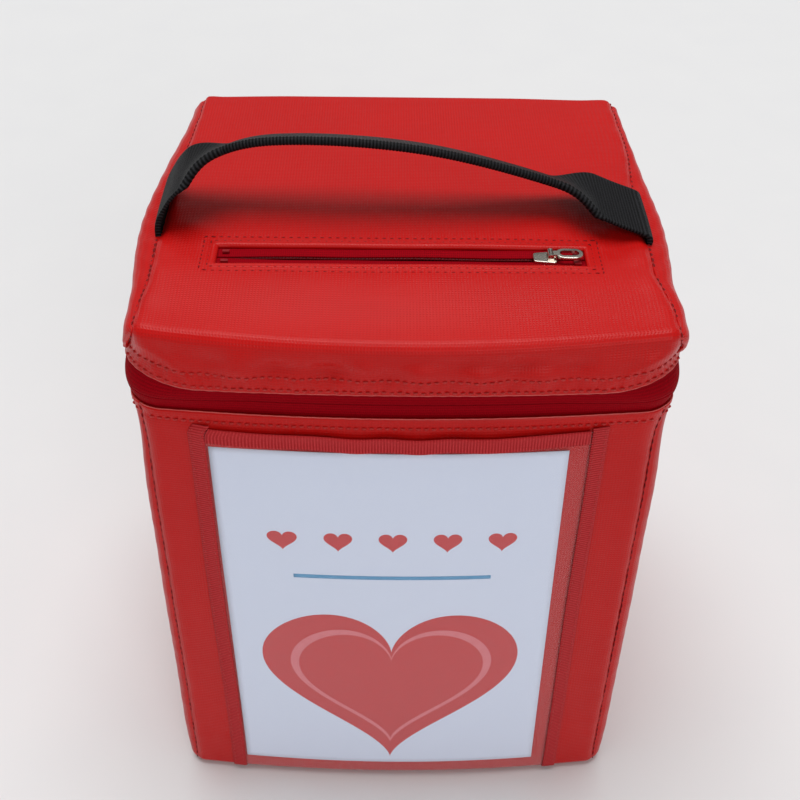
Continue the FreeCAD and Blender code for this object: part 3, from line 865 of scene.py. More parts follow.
# %% [markdown]
# ## Lid side bands
# A band closes each side of the lid. It hangs from the panel's edge, which climbs the front corner,
# follows the top and drops down the back corner, and ends on the hem below. Straight lines from edge
# to hem would be flat, so the band is rolled over near the seam and puffs up beside it.

# %% Side bands
TUCK = 2.0  # how far the tips of a band slip behind the panel, mm
BAND_SPARE = 20.0  # cloth of a band beyond the box's depth, for both corners, mm
BAND_ROWS = np.array([0, .006, .015, .03, .05, .07, .10, .13, .17, .21, .25, .28, .31, .35, .42, .5, .58, .66,
                      .73, .79, .84, .88, .91, .94, .965, .985, 1.0])  # shares from hem to seam


def hem_point(share):
    """Right-hand hem at a share of the run: round the front corner, along the side, round the back corner."""
    fold = (SKIRT + ARC) / LID_RUN
    at_front = share < 0.5
    r = np.where(at_front, LID_CORNER, HEM_CORNER)
    first = np.arcsin((lid_seam(np.where(at_front, 0, LID_RUN)) - half_w + r) / r)
    angle = first + (np.pi / 2 - first) * np.clip(np.minimum(share, 1 - share) / fold, 0, 1)
    along = np.clip((share - fold) / (1 - 2 * fold), 0, 1)
    low, high = LID_CORNER - half_d, half_d - HEM_CORNER
    x = half_w - r + r * np.sin(angle)
    y = low + (high - low) * along + np.where(at_front, -1, 1) * r * np.cos(angle)
    return stacked(x, y, lid_hem + CORNER_LIFT * (1 - smooth(share / 0.25)))


def lid_band(name, side, columns=230):
    """From the hem (w = 0) to the seam (w = 1): x eases in with w^3.5, y and z run straight, then puff and
    dips move it out."""
    run = np.linspace(0, LID_RUN, columns)
    edge, _ = lid_base(lid_seam(run), run)
    hem = hem_point(run / LID_RUN)
    base = hem[:, None] + (edge - hem)[:, None] * stacked(BAND_ROWS**3.5, BAND_ROWS, BAND_ROWS)
    up = base[..., 2] - hem[:, None, 2]
    tall = (edge - hem)[:, None, 2]
    d = np.minimum(tall - up, np.linalg.norm(base - edge[:, None], axis=-1))
    s = run_length(base)
    lift = smooth(tall / 20)
    puff = 1.5 * bump(d - 5.5, 4.5) + 0.25 * ripple(s, up * 2 + 30 * side)
    puckers = 0.25 * np.exp(-d / 6) * np.sin(s / 2.4 + side + 2 * np.sin(s / 19))
    out = lift * (puff + puckers - needle_dips(s, up, LID_ROWS) - hem_roll(up, 0.0))
    out = out - seam_dip(d, tall) - 0.6 * under_handle(run)[:, None] * bump(d, 2.4)
    steep = slope_normals(base[3:-3])
    steep = np.concatenate([np.repeat(steep[:1], 3, 0), steep, np.repeat(steep[-1:], 3, 0)])
    grid = base + steep * out[..., None]
    grid[..., 0] -= TUCK * (1 - smooth(np.minimum(run, LID_RUN - run) / 14))[:, None]
    if side < 0:
        grid, up, s = grid[::-1] * [-1, 1, 1], up[::-1], s[::-1]
    piece = cloth(name + "_cloth", grid, hem_thickness(up, 0.0), tarpaulin, stacked(s, up), weld=True)
    put(piece, "lid", "red_tarpaulin", name + "_band", flat=(2 * half_d + BAND_SPARE, lid_top - lid_hem))
    return grid


right_band_grid = lid_band("lid_right", 1)
left_band_grid = lid_band("lid_left", -1)

# %% [markdown]
# ## Thread on the lid
# Two rows follow the hem all round. One row lies in each side seam, and two frames of stitches hold the
# slot's zip round its window.

# %% Lid stitching
SLOT_STITCH = (3.4, 0.28)  # pitch and thread radius round the window, mm


def lid_row(x, run, e=0.2):
    """Path and normals of the lid's cloth along points (x, run): slopes over a small step e, crossed."""
    here = lid_cloth(x, run)
    return here, unit(np.cross(lid_cloth(x + e, run) - here, lid_cloth(x, run + e) - here))


def frame_path(gap):
    """x and run once round the window, gap millimetres outside it, from its front left corner."""
    (x0, x1), (r0, r1) = slot_x + [-gap, gap], run_of_y(slot_y) + [-gap, gap]
    t = np.linspace(0, 1, 90)[:-1]
    x = np.concatenate([x0 + (x1 - x0) * t, x1 + 0 * t, x1 + (x0 - x1) * t, x0 + 0 * t])
    run = np.concatenate([r0 + 0 * t, r0 + (r1 - r0) * t, r1 + 0 * t, r1 + (r0 - r1) * t])
    return np.append(x, x0), np.append(run, r0)


span = np.linspace(-1, 1, 400)
lid_lines = [lid_row(span * (lid_seam(run) - 1.0), np.full(len(span), run))
             for level in LID_ROWS for run in (level, LID_RUN - level)]
tall_part = slice(30, -14)  # columns of a band that stand clear of its tips
for grid in (right_band_grid, left_band_grid):
    for level in LID_ROWS:
        row = np.abs(grid[len(grid) // 2, :, 2] - lid_hem - level).argmin()
        lid_lines.append(part_of(grid, np.s_[tall_part, row]))
seam_run = np.linspace(3, LID_RUN - 3, 500)
lid_seams = [lid_row(side * (lid_seam(seam_run) - 0.3), seam_run) for side in (-1, 1)]
slot_lines = [lid_row(*frame_path(gap)) for gap in FRAME_GAPS]
put(stitch_rows("lid_hem_stitching", lid_lines, hem_thread_painted_highlight, *HEM_STITCH), "lid", "red_tarpaulin")
put(stitch_rows("lid_seam_stitching", lid_seams, seam_thread_painted_shade, *SEAM_STITCH), "lid", "red_tarpaulin")
put(stitch_rows("slot_stitching", slot_lines, seam_thread_painted_shade, *SLOT_STITCH), "lid", "red_tarpaulin")

# %% [markdown]
# ## Zip of the lid
# The zip is sewn in with its coil inside, so outside only two woven tapes show, recessed between the
# hems, with a fine line where they meet. Their path is the hem's plan, set in from the cloth, and the
# tapes end on the back beside the hinge strip.

# %% Zip path
HINGE_HALF = half_w - HEM_CORNER  # half length of the straight hinge strip, mm


def zip_corner(z):
    """Front corner radius at height z: the tub's at its hem, growing to the lid's at the other."""
    return HEM_CORNER + (LID_CORNER - HEM_CORNER) * smooth((z - tub_hem - 2) / 16)


def zip_plan(inset, corner=HEM_CORNER, step=1.6):
    """Path and directions from the back's left end round the front to its right end: a right half of front,
    corner, side and back corner, mirrored for the left. A corner is its centre plus radius times turn."""
    arc = np.linspace(0, np.pi / 2, int(1.6 * LID_CORNER / step))
    side = np.linspace(0, 1, int(2 * half_d / step))[1:-1, None]
    front = np.linspace(0, 1, int(half_w / step))[:-1, None]
    turn = stacked(np.sin(arc), -np.cos(arc))
    ahead = np.array([half_w - corner, corner - half_d])
    behind = np.array([half_w - HEM_CORNER, half_d - HEM_CORNER])
    half_out = np.concatenate([0 * front + [0, -1], turn, 0 * side + [1, 0], turn[::-1] * [1, -1]])
    half = np.concatenate([
        front * [ahead[0], 0] + [0, inset - half_d], ahead + (corner - inset) * turn,
        [half_w - inset, 0] + [0, 1] * (ahead[1] + (behind[1] - ahead[1]) * side),
        behind + (HEM_CORNER - inset) * turn[::-1] * [1, -1]])
    mirrored = [values[:0:-1] * [-1, 1] for values in (half, half_out)]
    return np.concatenate([mirrored[0], half]), np.concatenate([mirrored[1], half_out])


print("zip", round(run_length(zip_plan(0.0)[0])[-1], 1), "mm long round three sides")

# %% [markdown]
# The tapes follow that path upwards. Round the front corners the stiff zip can't turn as tightly as the
# cloth, so the tapes swell out there.

# %% Zip tapes
TAPE_INSET = 2.1  # tape's outer face behind the cloth's, mm
TAPE_BULGE = 1.8  # how far the tape swells out round the front corners
TAPE = 0.6        # thickness of a tape
SLIT = 0.06       # each tape ends this far from the line where they meet
UNDER = 8.0       # tapes and hinge strip run this far under the hems


def zip_tape(body, low, high):
    """The path carried up from low to high, its front corners widening and swelling out on the way."""
    z = np.linspace(low, high, 16)
    plans = [zip_plan(TAPE_INSET, corner) for corner in zip_corner(z)]
    xy, out = (np.stack(rows, 1) for rows in zip(*plans))
    at_corner = smooth((-xy[..., 1] - 58) / 20) * smooth((np.abs(xy[..., 0]) - 60) / 35)
    bulge = at_corner * bump(z - zip_line - 2, 7)
    grid = raised(xy + TAPE_BULGE * bulge[..., None] * out, z)
    uv = stacked(run_length(grid), grid[..., 2])
    put(cloth(body + "_zip_cloth", grid, TAPE, zip_tape_cloth, uv), body, "red_zip_tape", body + "_zip_tape")


zip_tape("tub", tub_hem - UNDER, zip_line - SLIT)
zip_tape("lid", zip_line + SLIT, lid_hem + UNDER)

# %% [markdown]
# A coil is a spiral of nylon. A tube whose ridges wind round it as it goes looks the same, with far
# fewer faces than a true spiral.

# %% Coils
def ridged_tube(name, path, out, material, radius=0.85, pitch=1.5, sides=8):
    """A tube along a path. Its radius swells with cos(2 pi s / pitch + angle), so ridges wind round it."""
    s = run_length(path)
    even = np.linspace(0, s[-1], int(s[-1] / (pitch / 4)))
    centre, e2 = resampled(path, s, even), resampled(out, s, even)
    e1 = np.cross(e2, unit(np.gradient(centre, axis=0)))
    angle = np.linspace(0, 2 * np.pi, sides, endpoint=False)[:, None]
    swell = radius * (0.86 + 0.24 * np.cos(2 * np.pi * even / pitch + angle))
    swell[:, [0, -1]] = 0
    grid = centre + (e1 * np.cos(angle)[..., None] + e2 * np.sin(angle)[..., None]) * swell[..., None]
    return ring_piece(name, grid, material)


for body, side in (("tub", -1), ("lid", 1)):
    coil_z = zip_line + side * 1.0
    path, out = zip_plan(TAPE_INSET + 1.5, zip_corner(coil_z))
    coil = ridged_tube(body + "_zip_spiral", raised(path, coil_z), raised(out, 0.0), nylon_coil)
    put(coil, body, "red_zip_coil", body + "_zip_coil")

# %% [markdown]
# The hems end in a cut edge, which catches the light as a thin bright line. That line is a painted
# highlight on a tube of the same kind, very thin and almost smooth.

# %% Cut edges, with a painted highlight
def edge_line(name, rows, body):
    """A thin tube in the painted edge highlight along the rows' joined paths, each row given as (grid,
    column).
    """
    parts = [part_of(grid, np.s_[:-1, row]) for grid, row in rows]
    path, out = (np.concatenate(values) for values in zip(*parts))
    piece = ridged_tube(name, path, out, edge_highlight_paint, radius=0.28, pitch=6.0, sides=6)
    put(piece, body, "red_tarpaulin")


edge_line("tub_hem_edge_highlight", [(grid, -1) for grid in tub_grids], "tub")
lid_edges = [(lid_grid, 0), (right_band_grid, 0), (lid_grid[::-1], -1), (left_band_grid, 0)]
edge_line("lid_hem_edge_highlight", lid_edges, "lid")

# %% [markdown]
# ## Hinge strip
# A strip of the same tarpaulin joins lid and tub along the back. It crosses the hinge, and is left
# in place where it is drawn, with neither body.

# %% Hinge strip
strip_half = HINGE_HALF + 3
hx = np.linspace(strip_half, -strip_half, 60)[:, None]
hz = np.linspace(tub_hem - UNDER, lid_hem + UNDER, 40)
hinge_grid = stacked(hx, half_d - 1.5 - 0.3 * bump(hz - zip_line, 5), hz)
hinge = cloth("hinge_cloth", hinge_grid, CLOTH, tarpaulin, hinge_grid[..., [0, 2]])
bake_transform(hinge)
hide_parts("hinge_strip")
print("hinge strip", 2 * strip_half, "mm long")

# %% [markdown]
# ## Money slot
# Two tapes hang under the window, each with its coil on the underside, and stand a little apart because
# the zip is open. Their edges wave slightly.

# %% Slot zip
SLOT_TAPE = 13.0  # outer edge of a tape from the slit's middle, mm


def slot_side(side, label):
    """A tape from under the window's edge to the slit: x along the slot, y across, sagging to the slit."""
    node = f"slot_{label}_tape"
    low, high = corners(node)
    x = np.linspace(low[0], high[0], 150)[:, None]
    t = np.linspace(0, 1, 12)
    open_end = smooth((x - slot_x[0] - 2) / 40) * smooth((slot_x[1] - x - 6) / 20)
    edge = slot_mid + side * (0.5 + 0.9 * open_end + 0.2 * np.sin(x / 13 + side))
    y = edge + (slot_mid + side * SLOT_TAPE - edge) * t
    crown = (0.7 if side < 0 else 0.2) * np.sin(np.pi * np.clip(1.6 * t, 0, 1))
    z = high[2] - 0.5 * (1 - t) ** 2 + 0.12 * np.sin(x / 9 + side) * (1 - t) + crown * open_end
    grid = stacked(x, y, z)[::side]
    tape = cloth(f"slot_{label}_cloth", grid, TAPE, zip_tape_cloth, grid[..., :2])
    put(tape, "lid", "red_zip_tape", node)
    seen = (x[:, 0] > slot_x[0]) & (x[:, 0] < slot_x[1])
    path = stacked(x[seen, 0], edge[seen, 0] + side * 0.8, z[seen, 0] - 1.4)
    coil = ridged_tube(f"slot_{label}_spiral", path, np.broadcast_to([0.0, 0, 1], path.shape), nylon_coil)
    put(coil, "lid", "red_zip_coil", f"slot_{label}_coil")


slot_side(-1, "front")
slot_side(1, "back")
for name in ("slot_slider", "slot_pull", "zip_slider", "zip_pull"):
    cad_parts[name].material_slots[0].material = nickel
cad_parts["slot_end_stops"].material_slots[0].material = red_lacquer

# %% [markdown]
# ## Handle
# One piece of webbing runs from side seam to side seam. Its middle line is a smooth curve through a few
# points, given as shares of the span and of the rise.

# %% Handle line
HANDLE_SHARES = np.array([
    (-1.0, -0.09), (-1.0, 0.0), (-0.985, 0.24), (-0.93, 0.5), (-0.82, 0.76), (-0.68, 0.94), (-0.48, 1.02),
    (-0.2, 1.01), (0.15, 0.89), (0.5, 0.63), (0.8, 0.32), (0.95, 0.13), (1.0, 0.04), (1.0, -0.09)])
HANDLE_BACK = np.array([6.0, 2.0])  # how far the left and right ends sit behind the CAD strap, mm
HANDLE_SPAN = lid_seam(run_of_y(np.array(handle_mid_y))) - 0.3  # half span between the seams, mm
HANDLE_RISE = 36.0


def spline(knots, count):
    """A natural cubic spline through knots, at even lengths: second slopes from one linear system."""
    s = run_length(knots)
    h = np.diff(s)
    n = len(s)
    system, right = np.eye(n), np.zeros((n, knots.shape[1]))
    i = np.arange(1, n - 1)
    system[i, i - 1], system[i, i], system[i, i + 1] = h[:-1], 2 * (h[:-1] + h[1:]), h[1:]
    right[1:-1] = 6 * np.diff(np.diff(knots, axis=0) / h[:, None], axis=0)
    bend = np.linalg.solve(system, right)
    at = np.linspace(0, s[-1], count)
    k = np.clip(np.searchsorted(s, at) - 1, 0, n - 2)
    p, q, w = (at - s[k])[:, None], (s[k + 1] - at)[:, None], h[k][:, None]
    return (bend[k] * q**3 + bend[k + 1] * p**3) / (6 * w) + (
        (knots[k] / w - bend[k] * w / 6) * q + (knots[k + 1] / w - bend[k + 1] * w / 6) * p)


share_x, share_z = HANDLE_SHARES.T
handle_y = handle_mid_y + HANDLE_BACK.mean() + np.diff(HANDLE_BACK) / 2 * share_x
line = spline(stacked(share_x * HANDLE_SPAN, handle_y, lid_top + share_z * HANDLE_RISE), 900)
web_s = run_length(line)
print("handle webbing", round(web_s[-1], 1), "mm")

# %% [markdown]
# Flat where it leaves the seams, the strap is folded along its middle on the grip, with the front half
# tucked under. The fold line crosses the strap at a slant, from its front edge to its middle. Webbing in
# front of that line turns under through half a turn over a few millimetres, so adding up small steps
# from the back edge gives the whole section.

# %% Handle
WEB_THICK = 1.5
BEND = 4.6  # webbing taken up by the fold itself, mm
GRIP_TILT = np.radians(24)  # how far the folded grip leans forward
share = web_s / web_s[-1]
fold = np.clip(np.minimum(share - 0.105, 0.895 - share) / 0.085, 0, 1)
tangent = unit(np.gradient(line, axis=0))
tilt = (GRIP_TILT * smooth(fold))[:, None]
back = np.array([0.0, 1, 0])
across = np.cos(tilt) * back - np.sin(tilt) * np.cross(tangent, back)
up = np.cross(tangent, across)
width = np.linspace(-WEB_HALF, WEB_HALF, 40)
step = width[1] - width[0]
angle = np.pi * smooth((WEB_HALF * (fold - 1)[:, None] - width) / BEND)
a = WEB_HALF - np.cumsum(np.cos(angle[:, ::-1]) * step, axis=1)[:, ::-1] + step
b = -np.cumsum(np.sin(angle[:, ::-1]) * step, axis=1)[:, ::-1]
ribs = 0.13 * np.cos(2 * np.pi * web_s / RIB)[:, None] * smooth((WEB_HALF - np.abs(width)) / 2)
strap = line[:, None] + across[:, None] * a[..., None] + up[:, None] * b[..., None]
strap = pushed(strap, WEB_THICK / 2 + ribs)
handle = cloth("handle_webbing", strap, WEB_THICK + 2 * ribs, webbing_cloth, stacked(web_s[:, None], width))
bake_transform(handle)
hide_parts("handle_left_riser", "handle_grip", "handle_right_riser")
print("the fold takes", round(100 * float((fold == 1).mean())), "percent of the strap's length")

# %% [markdown]
# ## Card pocket
# A clear sheet is sewn to the front under two ribbons, and its mouth is bound with a third. The mouth
# hangs a little and gapes forward in the middle, because the sheet is longer than the cloth behind it.

# %% Pocket film
pocket_half = corners("pocket_right_tape")[1][0]
pocket_in = corners("pocket_right_tape")[0][0]
pocket_foot, pocket_top = (corner[2] for corner in corners("pocket_window"))
pocket_foot = pocket_foot - 1.0  # the sheet is caught in the seam at the foot
GAPE_FROM = 175.0  # height from which the mouth gapes, mm


def on_front(x, z, lift):
    """A point lift millimetres in front of the tub's front cloth."""
    return stacked(x, -plan(z)[1] - front_swell(x, z) - lift, z)


def hang(x):
    """Share of the mouth's sag and gape at x: 1 in the middle, 0 at the ribbons."""
    return np.clip(1 - (x / pocket_in) ** 2, 0, 1)


def film_lift(x, z):
    """How far the clear sheet stands off the cloth: sewn down at the ribbons, free between, gaping at the
    mouth."""
    free = smooth((pocket_half - 2 - np.abs(x)) / 7) * smooth((z - pocket_foot) / 14)
    gape = 1.3 * hang(x) * smooth((z - GAPE_FROM) / (pocket_top - GAPE_FROM))
    return 0.35 + free * (1.0 + gape + 0.25 * np.sin(x / 31 + z / 47) * smooth(z / 30))


def mouth(x):
    """Height of the pocket's mouth at x: it sags between the ribbons."""
    return pocket_top - 1.2 * hang(x)


fx = np.linspace(-pocket_half + 0.3, pocket_half - 0.3, 130)[:, None]
fz = pocket_foot + (mouth(fx) - pocket_foot) * np.linspace(0, 1, 90)
film_grid = on_front(fx, fz, film_lift(fx, fz))
film = cloth("pocket_film", film_grid, 0.3, clear_pvc, film_grid[..., [0, 2]])
put(film, "tub", "clear_pvc", "pocket_window", flat=(2 * pocket_half, pocket_top - pocket_foot))

# %% [markdown]
# The side ribbons lie flat over the sheet's sewn edges. The third is folded over the mouth, so its
# section is a narrow loop: up the front, over, and down the back.

# %% Ribbons
RIBBON = 7.0  # width of a ribbon, mm
RIBBON_STITCH = (3.2, 0.2)  # pitch and thread radius, mm


def side_ribbon(side, label):
    """A strip up the pocket's side, crowned across its width, over the sewn edge of the sheet."""
    t = np.linspace(0, 1, 12)[:, None]
    z = np.linspace(pocket_foot, pocket_top + 2, 110)[None]
    x = side * (pocket_in + (pocket_half - pocket_in) * (t if side > 0 else 1 - t)) + 0.25 * np.sin(z / 29)
    crown = 0.30 * np.sin(np.pi * t) + 0.05 * np.sin(z / 3.1)
    film_here = film_lift(np.clip(x, -pocket_half + 0.5, pocket_half - 0.5), np.minimum(z, pocket_top - 1))
    grid = on_front(x, z, np.minimum(film_here, 1.1) + 0.45 + crown)
    piece = cloth(f"pocket_{label}_ribbon", grid, 0.5, ribbon_cloth, stacked(t * RIBBON, z))
    put(piece, "tub", "red_ribbon", f"pocket_{label}_tape")
    return grid


def binding_ribbon(down=6.2, half=0.75):
    """The mouth's binding: a loop with legs of length down, half its thickness to each side of the sheet,
    carried along the mouth."""
    x = np.linspace(-pocket_in + 0.5, pocket_in - 0.5, 140)[:, None]
    turn = np.linspace(0, np.pi, 9)
    legs = np.linspace(0, 1, 9)
    drop = np.concatenate([down * (1 - legs[:-1]), -half * np.sin(turn), down * legs[1:]])
    off = np.concatenate([half + 0 * legs[:-1], half * np.cos(turn), -half + 0 * legs[1:]])
    z = mouth(x) - drop
    behind = np.minimum(mouth(x), z)
    y_film = on_front(x, behind, film_lift(x, behind))[..., 1]
    s = run_length(stacked(drop, off))
    piece = cloth("pocket_mouth_ribbon", stacked(x, y_film - off - 0.15, z), 0.4, ribbon_cloth, stacked(s, x))
    put(piece, "tub", "red_ribbon", "pocket_top_binding")


ribbons = [side_ribbon(-1, "left"), side_ribbon(1, "right")]
pocket_rows = [part_of(grid, column) for grid in ribbons for column in (2, 9)]
put(stitch_rows("pocket_stitching", pocket_rows, hem_thread_painted_highlight, *RIBBON_STITCH, sink=0.08), "tub", "red_ribbon")
binding_ribbon()

# %% [markdown]
# ## Card
# A sheet of coated paper stands in the pocket, pushed to the left, bowed very slightly. Its print is a
# plain heart with a rule and a row of small hearts above, each a patch of ink just in front of the paper.

# %% Card
card_low, card_high = corners("card")
INK = 0.06  # how far a patch of ink stands before the paper, mm


def on_card(x, z, lift=0.0):
    """A point on the card's face: a slight bow between its sides, and lift millimetres in front."""
    u = (x - card_low[0]) / (card_high[0] - card_low[0])
    bow = 0.35 * np.sin(np.pi * np.clip(u, 0, 1)) + 0.12 * np.sin(z / 40 + x / 60)
    return stacked(x, card_low[1] - 0.45 - bow - lift, z)


cz = np.linspace(card_low[2] + 9.5, card_high[2], 70)
crooked = 2.0 * (cz - card_low[2]) / (card_high[2] - card_low[2])  # the right edge is cut a little askew
card_right = card_high[0] - 2.8 - crooked
cx = card_low[0] + (card_right - card_low[0]) * np.linspace(0, 1, 50)[:, None]
card_grid = on_card(cx, cz)
card = cloth("pocket_card", card_grid, 0.3, coated_card, card_grid[..., [0, 2]])
put(card, "card", "white_card", "card")


def heart(name, x, z, size, ink, lift=INK):
    """A heart filled from its middle and closed behind: the curve 16 sin^3 t, 13 cos t - 5 cos 2t - 2 cos 3t
    - cos 4t, scaled to a width."""
    t = np.linspace(0, 2 * np.pi, 120, endpoint=False)[:, None]
    ring = np.append(np.linspace(0, 0.99, 14), [0.998, 1.0])
    lifts = np.repeat([lift, 0.01], len(ring))
    ring = np.append(ring, ring[::-1]) * size / 32
    hx = 16 * np.sin(t) ** 3
    hz = 13 * np.cos(t) - 5 * np.cos(2 * t) - 2 * np.cos(3 * t) - np.cos(4 * t) + 2.5
    grid = on_card(x + hx * ring, z + hz * ring, lifts)
    put(ring_piece(name, grid, ink, -1), "card", "white_card")


card_mid = (card_low[0] + card_high[0]) / 2 - 2
heart("card_heart", card_mid, 76, 126, red_ink)
heart("card_heart_light", card_mid, 77, 100, rose_ink, lift=INK + 0.04)
heart("card_heart_core", card_mid, 77, 92, red_ink, lift=INK + 0.08)
for i in range(5):
    heart(f"card_small_heart_{i + 1}", card_mid + 25 * (i - 2), 182, 13, red_ink)
rule_x = np.linspace(card_mid - 46, card_mid + 46, 40)[:, None]
rule = cloth("card_rule", on_card(rule_x, np.linspace(158, 160.4, 4), INK), 0.04, blue_ink)
put(rule, "card", "white_card")

# %% [markdown]
# ## Boards
# Stiff greyboard keeps the walls upright. It is hidden between cloth and lining, and bends with them,
# so each board is a sheet that follows the same bowed plan.

# %% Boards
def board(name, grid, body, thickness=3.0, hole=None):
    """A board from its outer face, standing for the CAD board of the same name."""
    piece = cloth(name + "_bowed", grid, thickness, greyboard, grid[..., :2], hole=hole)
    put(piece, body, "stiffener_board", name)


def upright(low, high, axis, value):
    """A flat grid between two corners, at a fixed x (axis 0) or y (axis 1)."""
    other = 1 - axis
    pair = [value, value]
    pair[other] = low[other] + (high[other] - low[other]) * np.linspace(0, 1, 24)[:, None]
    return stacked(*pair, np.linspace(low[2], high[2], 30))


for name, axis, end in (("front", 1, 0), ("back", 1, 1), ("left", 0, 0), ("right", 0, 1)):
    ends = corners(f"tub_{name}_board")
    grid = upright(*ends, axis, ends[end][axis])
    board(f"tub_{name}_board", grid if name in ("front", "right") else grid[::-1], "tub")
low, high = corners("tub_base_board")
gx, gy = plate(high[0] - 4, high[1] - 4, 8.0, 30, 30)
board("tub_base_board", stacked(gx, gy, low[2])[::-1], "tub")
low, high = corners("lid_board")
room_x, room_y = slot_x + [-6.8, 6.8], slot_y + [-6.8, 6.8]
lx, ly = crowded(np.linspace(low[0], high[0], 40), room_x), crowded(np.linspace(low[1], high[1], 40), room_y)
board("lid_board", stacked(lx[:, None], ly, high[2] - 0.3), "lid", 2.8,
      hole=within(lx, room_x)[:, None] & within(ly, room_y))

# %% [markdown]
# ## Linings
# Inside, a grey lining covers the boards. The tub's is a pouch with a lip over the boards' edges, drawn
# as rings of the same plan, and wrinkled a little away from its lip.

# %% Tub lining
LINING = 0.4  # thickness, mm
POUCH_WIDTH = 800.0  # the pouch's area is given as a rectangle this wide, mm


def plan_rings(levels, corner=HEM_CORNER):
    """Rings at (inset, scale, height): the zip's plan closed across the back and shrunk towards the middle.
    Also the heights, and the length round the first ring with its join."""
    paths = [zip_plan(inset, corner, step=4.0)[0] * scale for inset, scale, _ in levels]
    rings = np.stack([np.concatenate([path, np.linspace(path[-1], path[0], 42)[1:-1]]) for path in paths], 1)
    return rings, np.array(levels)[:, 2], run_length(np.concatenate([rings, rings[:1]]))[:, :1]


lip_z = corners("tub_lining")[1][2]
floor_z = corners("tub_lining")[0][2] + 0.6
pouch_levels = ([(2.6, 1, lip_z - 0.3), (3.2, 1, lip_z + 0.1), (3.9, 1, lip_z - 0.2), (4.4, 1, lip_z - 1.2)]
                + [(4.6, 1, h) for h in np.linspace(lip_z - 6, floor_z + 8, 40)]
                + [(4.6 + 4 * t * t, 1, floor_z + 6 * (1 - t) ** 2) for t in (0.4, 0.7, 1.0)]
                + [(8.6, t, floor_z) for t in np.linspace(0.97, 0.0, 26)])
rings, ring_z, ring_s = plan_rings(pouch_levels)
wrinkle = 0.5 * ripple(ring_s[:-1] * 1.4, ring_z * 1.3) * smooth(np.abs(ring_z - ring_z[0]) / 12)
pouch = raised(rings * (1 - 0.006 * (1 + wrinkle)[..., None]), ring_z)[::-1]
down = np.cumsum(np.append(0, np.abs(np.diff(ring_z)) + 1))
tub_lining = cloth("tub_lining_cloth", pouch, LINING, lining_cloth, stacked(ring_s, down), closed=True,
                   weld=True)
pouch_area = 2 * half_w * 2 * half_d + 4 * (half_w + half_d) * lip_z
put(tub_lining, "tub", "lining_fabric", "tub_lining", flat=(POUCH_WIDTH, pouch_area / POUCH_WIDTH),
    rests_on=["tub_base_board"])

# %% [markdown]
# The lid's lining is a ceiling with a window round the slot, and a skirt of rings below it.

# %% Lid lining
LINING_TOP = 0.93  # the lid narrows towards its top, and its lining with it
cap_low, cap_high = (corner[2] for corner in corners("lid_lining"))
cap_x, cap_y = half_w - 3, half_d - 3
hole_x, hole_y = slot_x + [-2, 2], slot_y + [-2, 2]
rows_y = crowded(np.linspace(-cap_y, cap_y, 60), hole_y)
rows_x = crowded(np.linspace(-cap_x, cap_x, 60), hole_x / LINING_TOP)
px, py = plate(cap_x, cap_y, HEM_CORNER - 3, rows_x / cap_x, rows_y)
px = px * LINING_TOP
plate_grid = stacked(px, py, cap_high - 0.6 + 0.25 * ripple(px * 1.3, py * 1.2) - 0.25)[::-1]
cap_hole = within(rows_x[::-1] * LINING_TOP, hole_x)[:, None] & within(rows_y, hole_y)
lid_ceiling = cloth("lid_ceiling_cloth", plate_grid, LINING, lining_cloth, plate_grid[..., :2], hole=cap_hole)
put(lid_ceiling, "lid", "lining_fabric", "lid_lining", flat=(2 * half_w, 2 * half_d), rests_on=["lid_board"])
skirt_levels = [(3.4 + 6.5 * ((h - lid_hem) / (cap_high - lid_hem)) ** 3, 1, h)
                for h in np.linspace(cap_high - 0.5, cap_low + 9, 12)]
rings, ring_z, ring_s = plan_rings(skirt_levels, LID_CORNER)
lid_skirt = cloth("lid_skirt_cloth", raised(rings, ring_z), LINING, lining_cloth, stacked(ring_s, ring_z),
                  closed=True)
put(lid_skirt, "lid", "lining_fabric", flat=(4 * (half_w + half_d) * 0.95, np.ptp(ring_z)))

# %% [markdown]
# ## Camera
# The camera stands where the photograph was taken from: its place and turn were fitted to the box's
# corners in the picture.

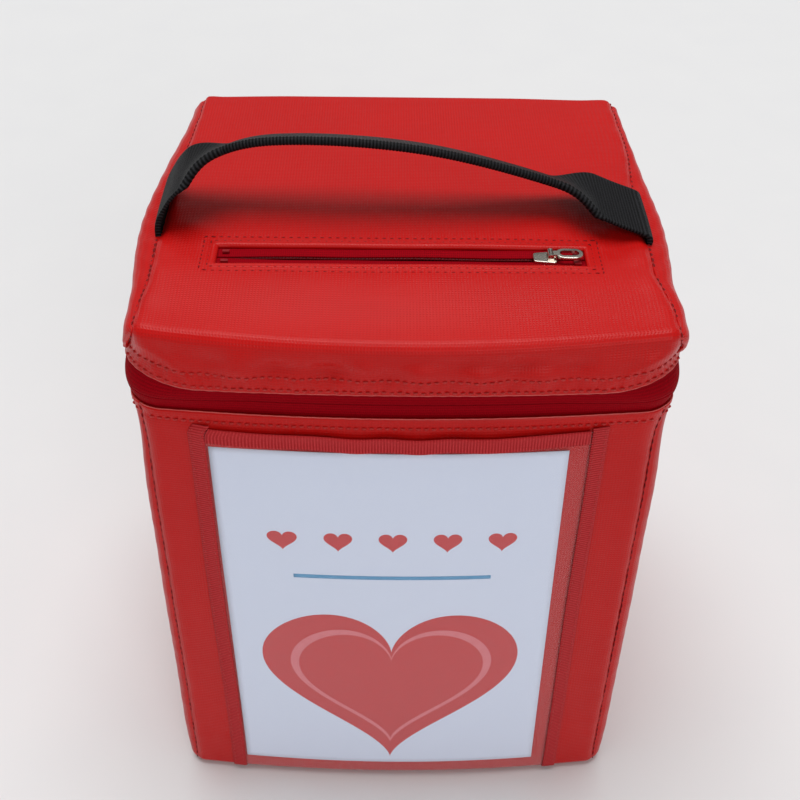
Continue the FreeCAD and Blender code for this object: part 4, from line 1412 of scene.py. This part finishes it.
# %% Camera
CAMERA_PLACE = (-0.0075, -0.4723, 0.5832)
pitch, yaw, roll = np.radians([40.88, 0.95, 1.05])
ahead = np.array([np.sin(yaw) * np.cos(pitch), np.cos(yaw) * np.cos(pitch), -np.sin(pitch)])
right = np.array([np.cos(yaw), -np.sin(yaw), 0.0])
above = np.cross(right, ahead)
right, above = np.cos(roll) * right + np.sin(roll) * above, np.cos(roll) * above - np.sin(roll) * right
camera_data = bpy.data.cameras.new("camera")
camera_data.lens, camera_data.sensor_width = 53.2, 36.0
camera = bpy.data.objects.new("camera", camera_data)
turn = np.eye(4)
turn[:3] = np.stack([right, above, -ahead, CAMERA_PLACE], 1)
camera.matrix_world = Matrix(turn.tolist())
bpy.context.collection.objects.link(camera)
bpy.context.scene.camera = camera
print("camera", round(float(np.linalg.norm(CAMERA_PLACE)), 3), "m from the middle of the box's base")

# %% [markdown]
# ## Floor and light
# The floor is plain and pale, and two wide, soft suns light the box from above and in front, so that a
# colour renders about as it is written. The sky is brighter to the camera than to the box.

# %% Floor and light
floor_finish = make_plain("pale_studio_paper", "#dfdfe0", "#e3e3e3", 60, 0.85, 0.95, 0.001)
floor_line = np.linspace(-6, 6, 9)
floor_points = stacked(floor_line[:, None], floor_line, -0.0006).reshape(-1, 3)
floor_mesh = bpy.data.meshes.new("studio_floor")
floor_mesh.from_pydata(floor_points, [], quads(9, 9).reshape(-1, 4))
floor_mesh.materials.append(floor_finish)
floor = bpy.data.objects.new("studio_floor", floor_mesh)
bpy.context.collection.objects.link(floor)


def soft_sun(name, place, spread, strength):
    """A sun lamp from a place towards the box, as wide as a studio soft box, so the floor is lit evenly."""
    data = bpy.data.lights.new(name, "SUN")
    data.angle, data.energy = np.radians(spread), strength
    lamp = bpy.data.objects.new(name, data)
    towards = Vector((0, 0, 0.2)) - Vector(place)
    lamp.rotation_euler = towards.to_track_quat("-Z", "Y").to_euler()
    lamp.location = place
    bpy.context.collection.objects.link(lamp)


soft_sun("overhead", (-0.1, 0.4, 2.2), 45, 2.25)
soft_sun("front_fill", (0.5, -1.5, 1.0), 30, 0.7)
world = bpy.context.scene.world or bpy.data.worlds.new("world")
bpy.context.scene.world = world
world.use_nodes = True
world.node_tree.nodes.clear()
seen = add(world, "LightPath")["Is Camera Ray"]
level = add(world, "MapRange", {"Value": seen, "To Min": 0.28, "To Max": 0.85})["Result"]
sky = add(world, "Background", {"Color": linear("#ffffff"), "Strength": level})["Background"]
add(world, "OutputWorld", {"Surface": sky})
bpy.context.scene.view_settings.view_transform = "Standard"
print("floor and lamps are set")
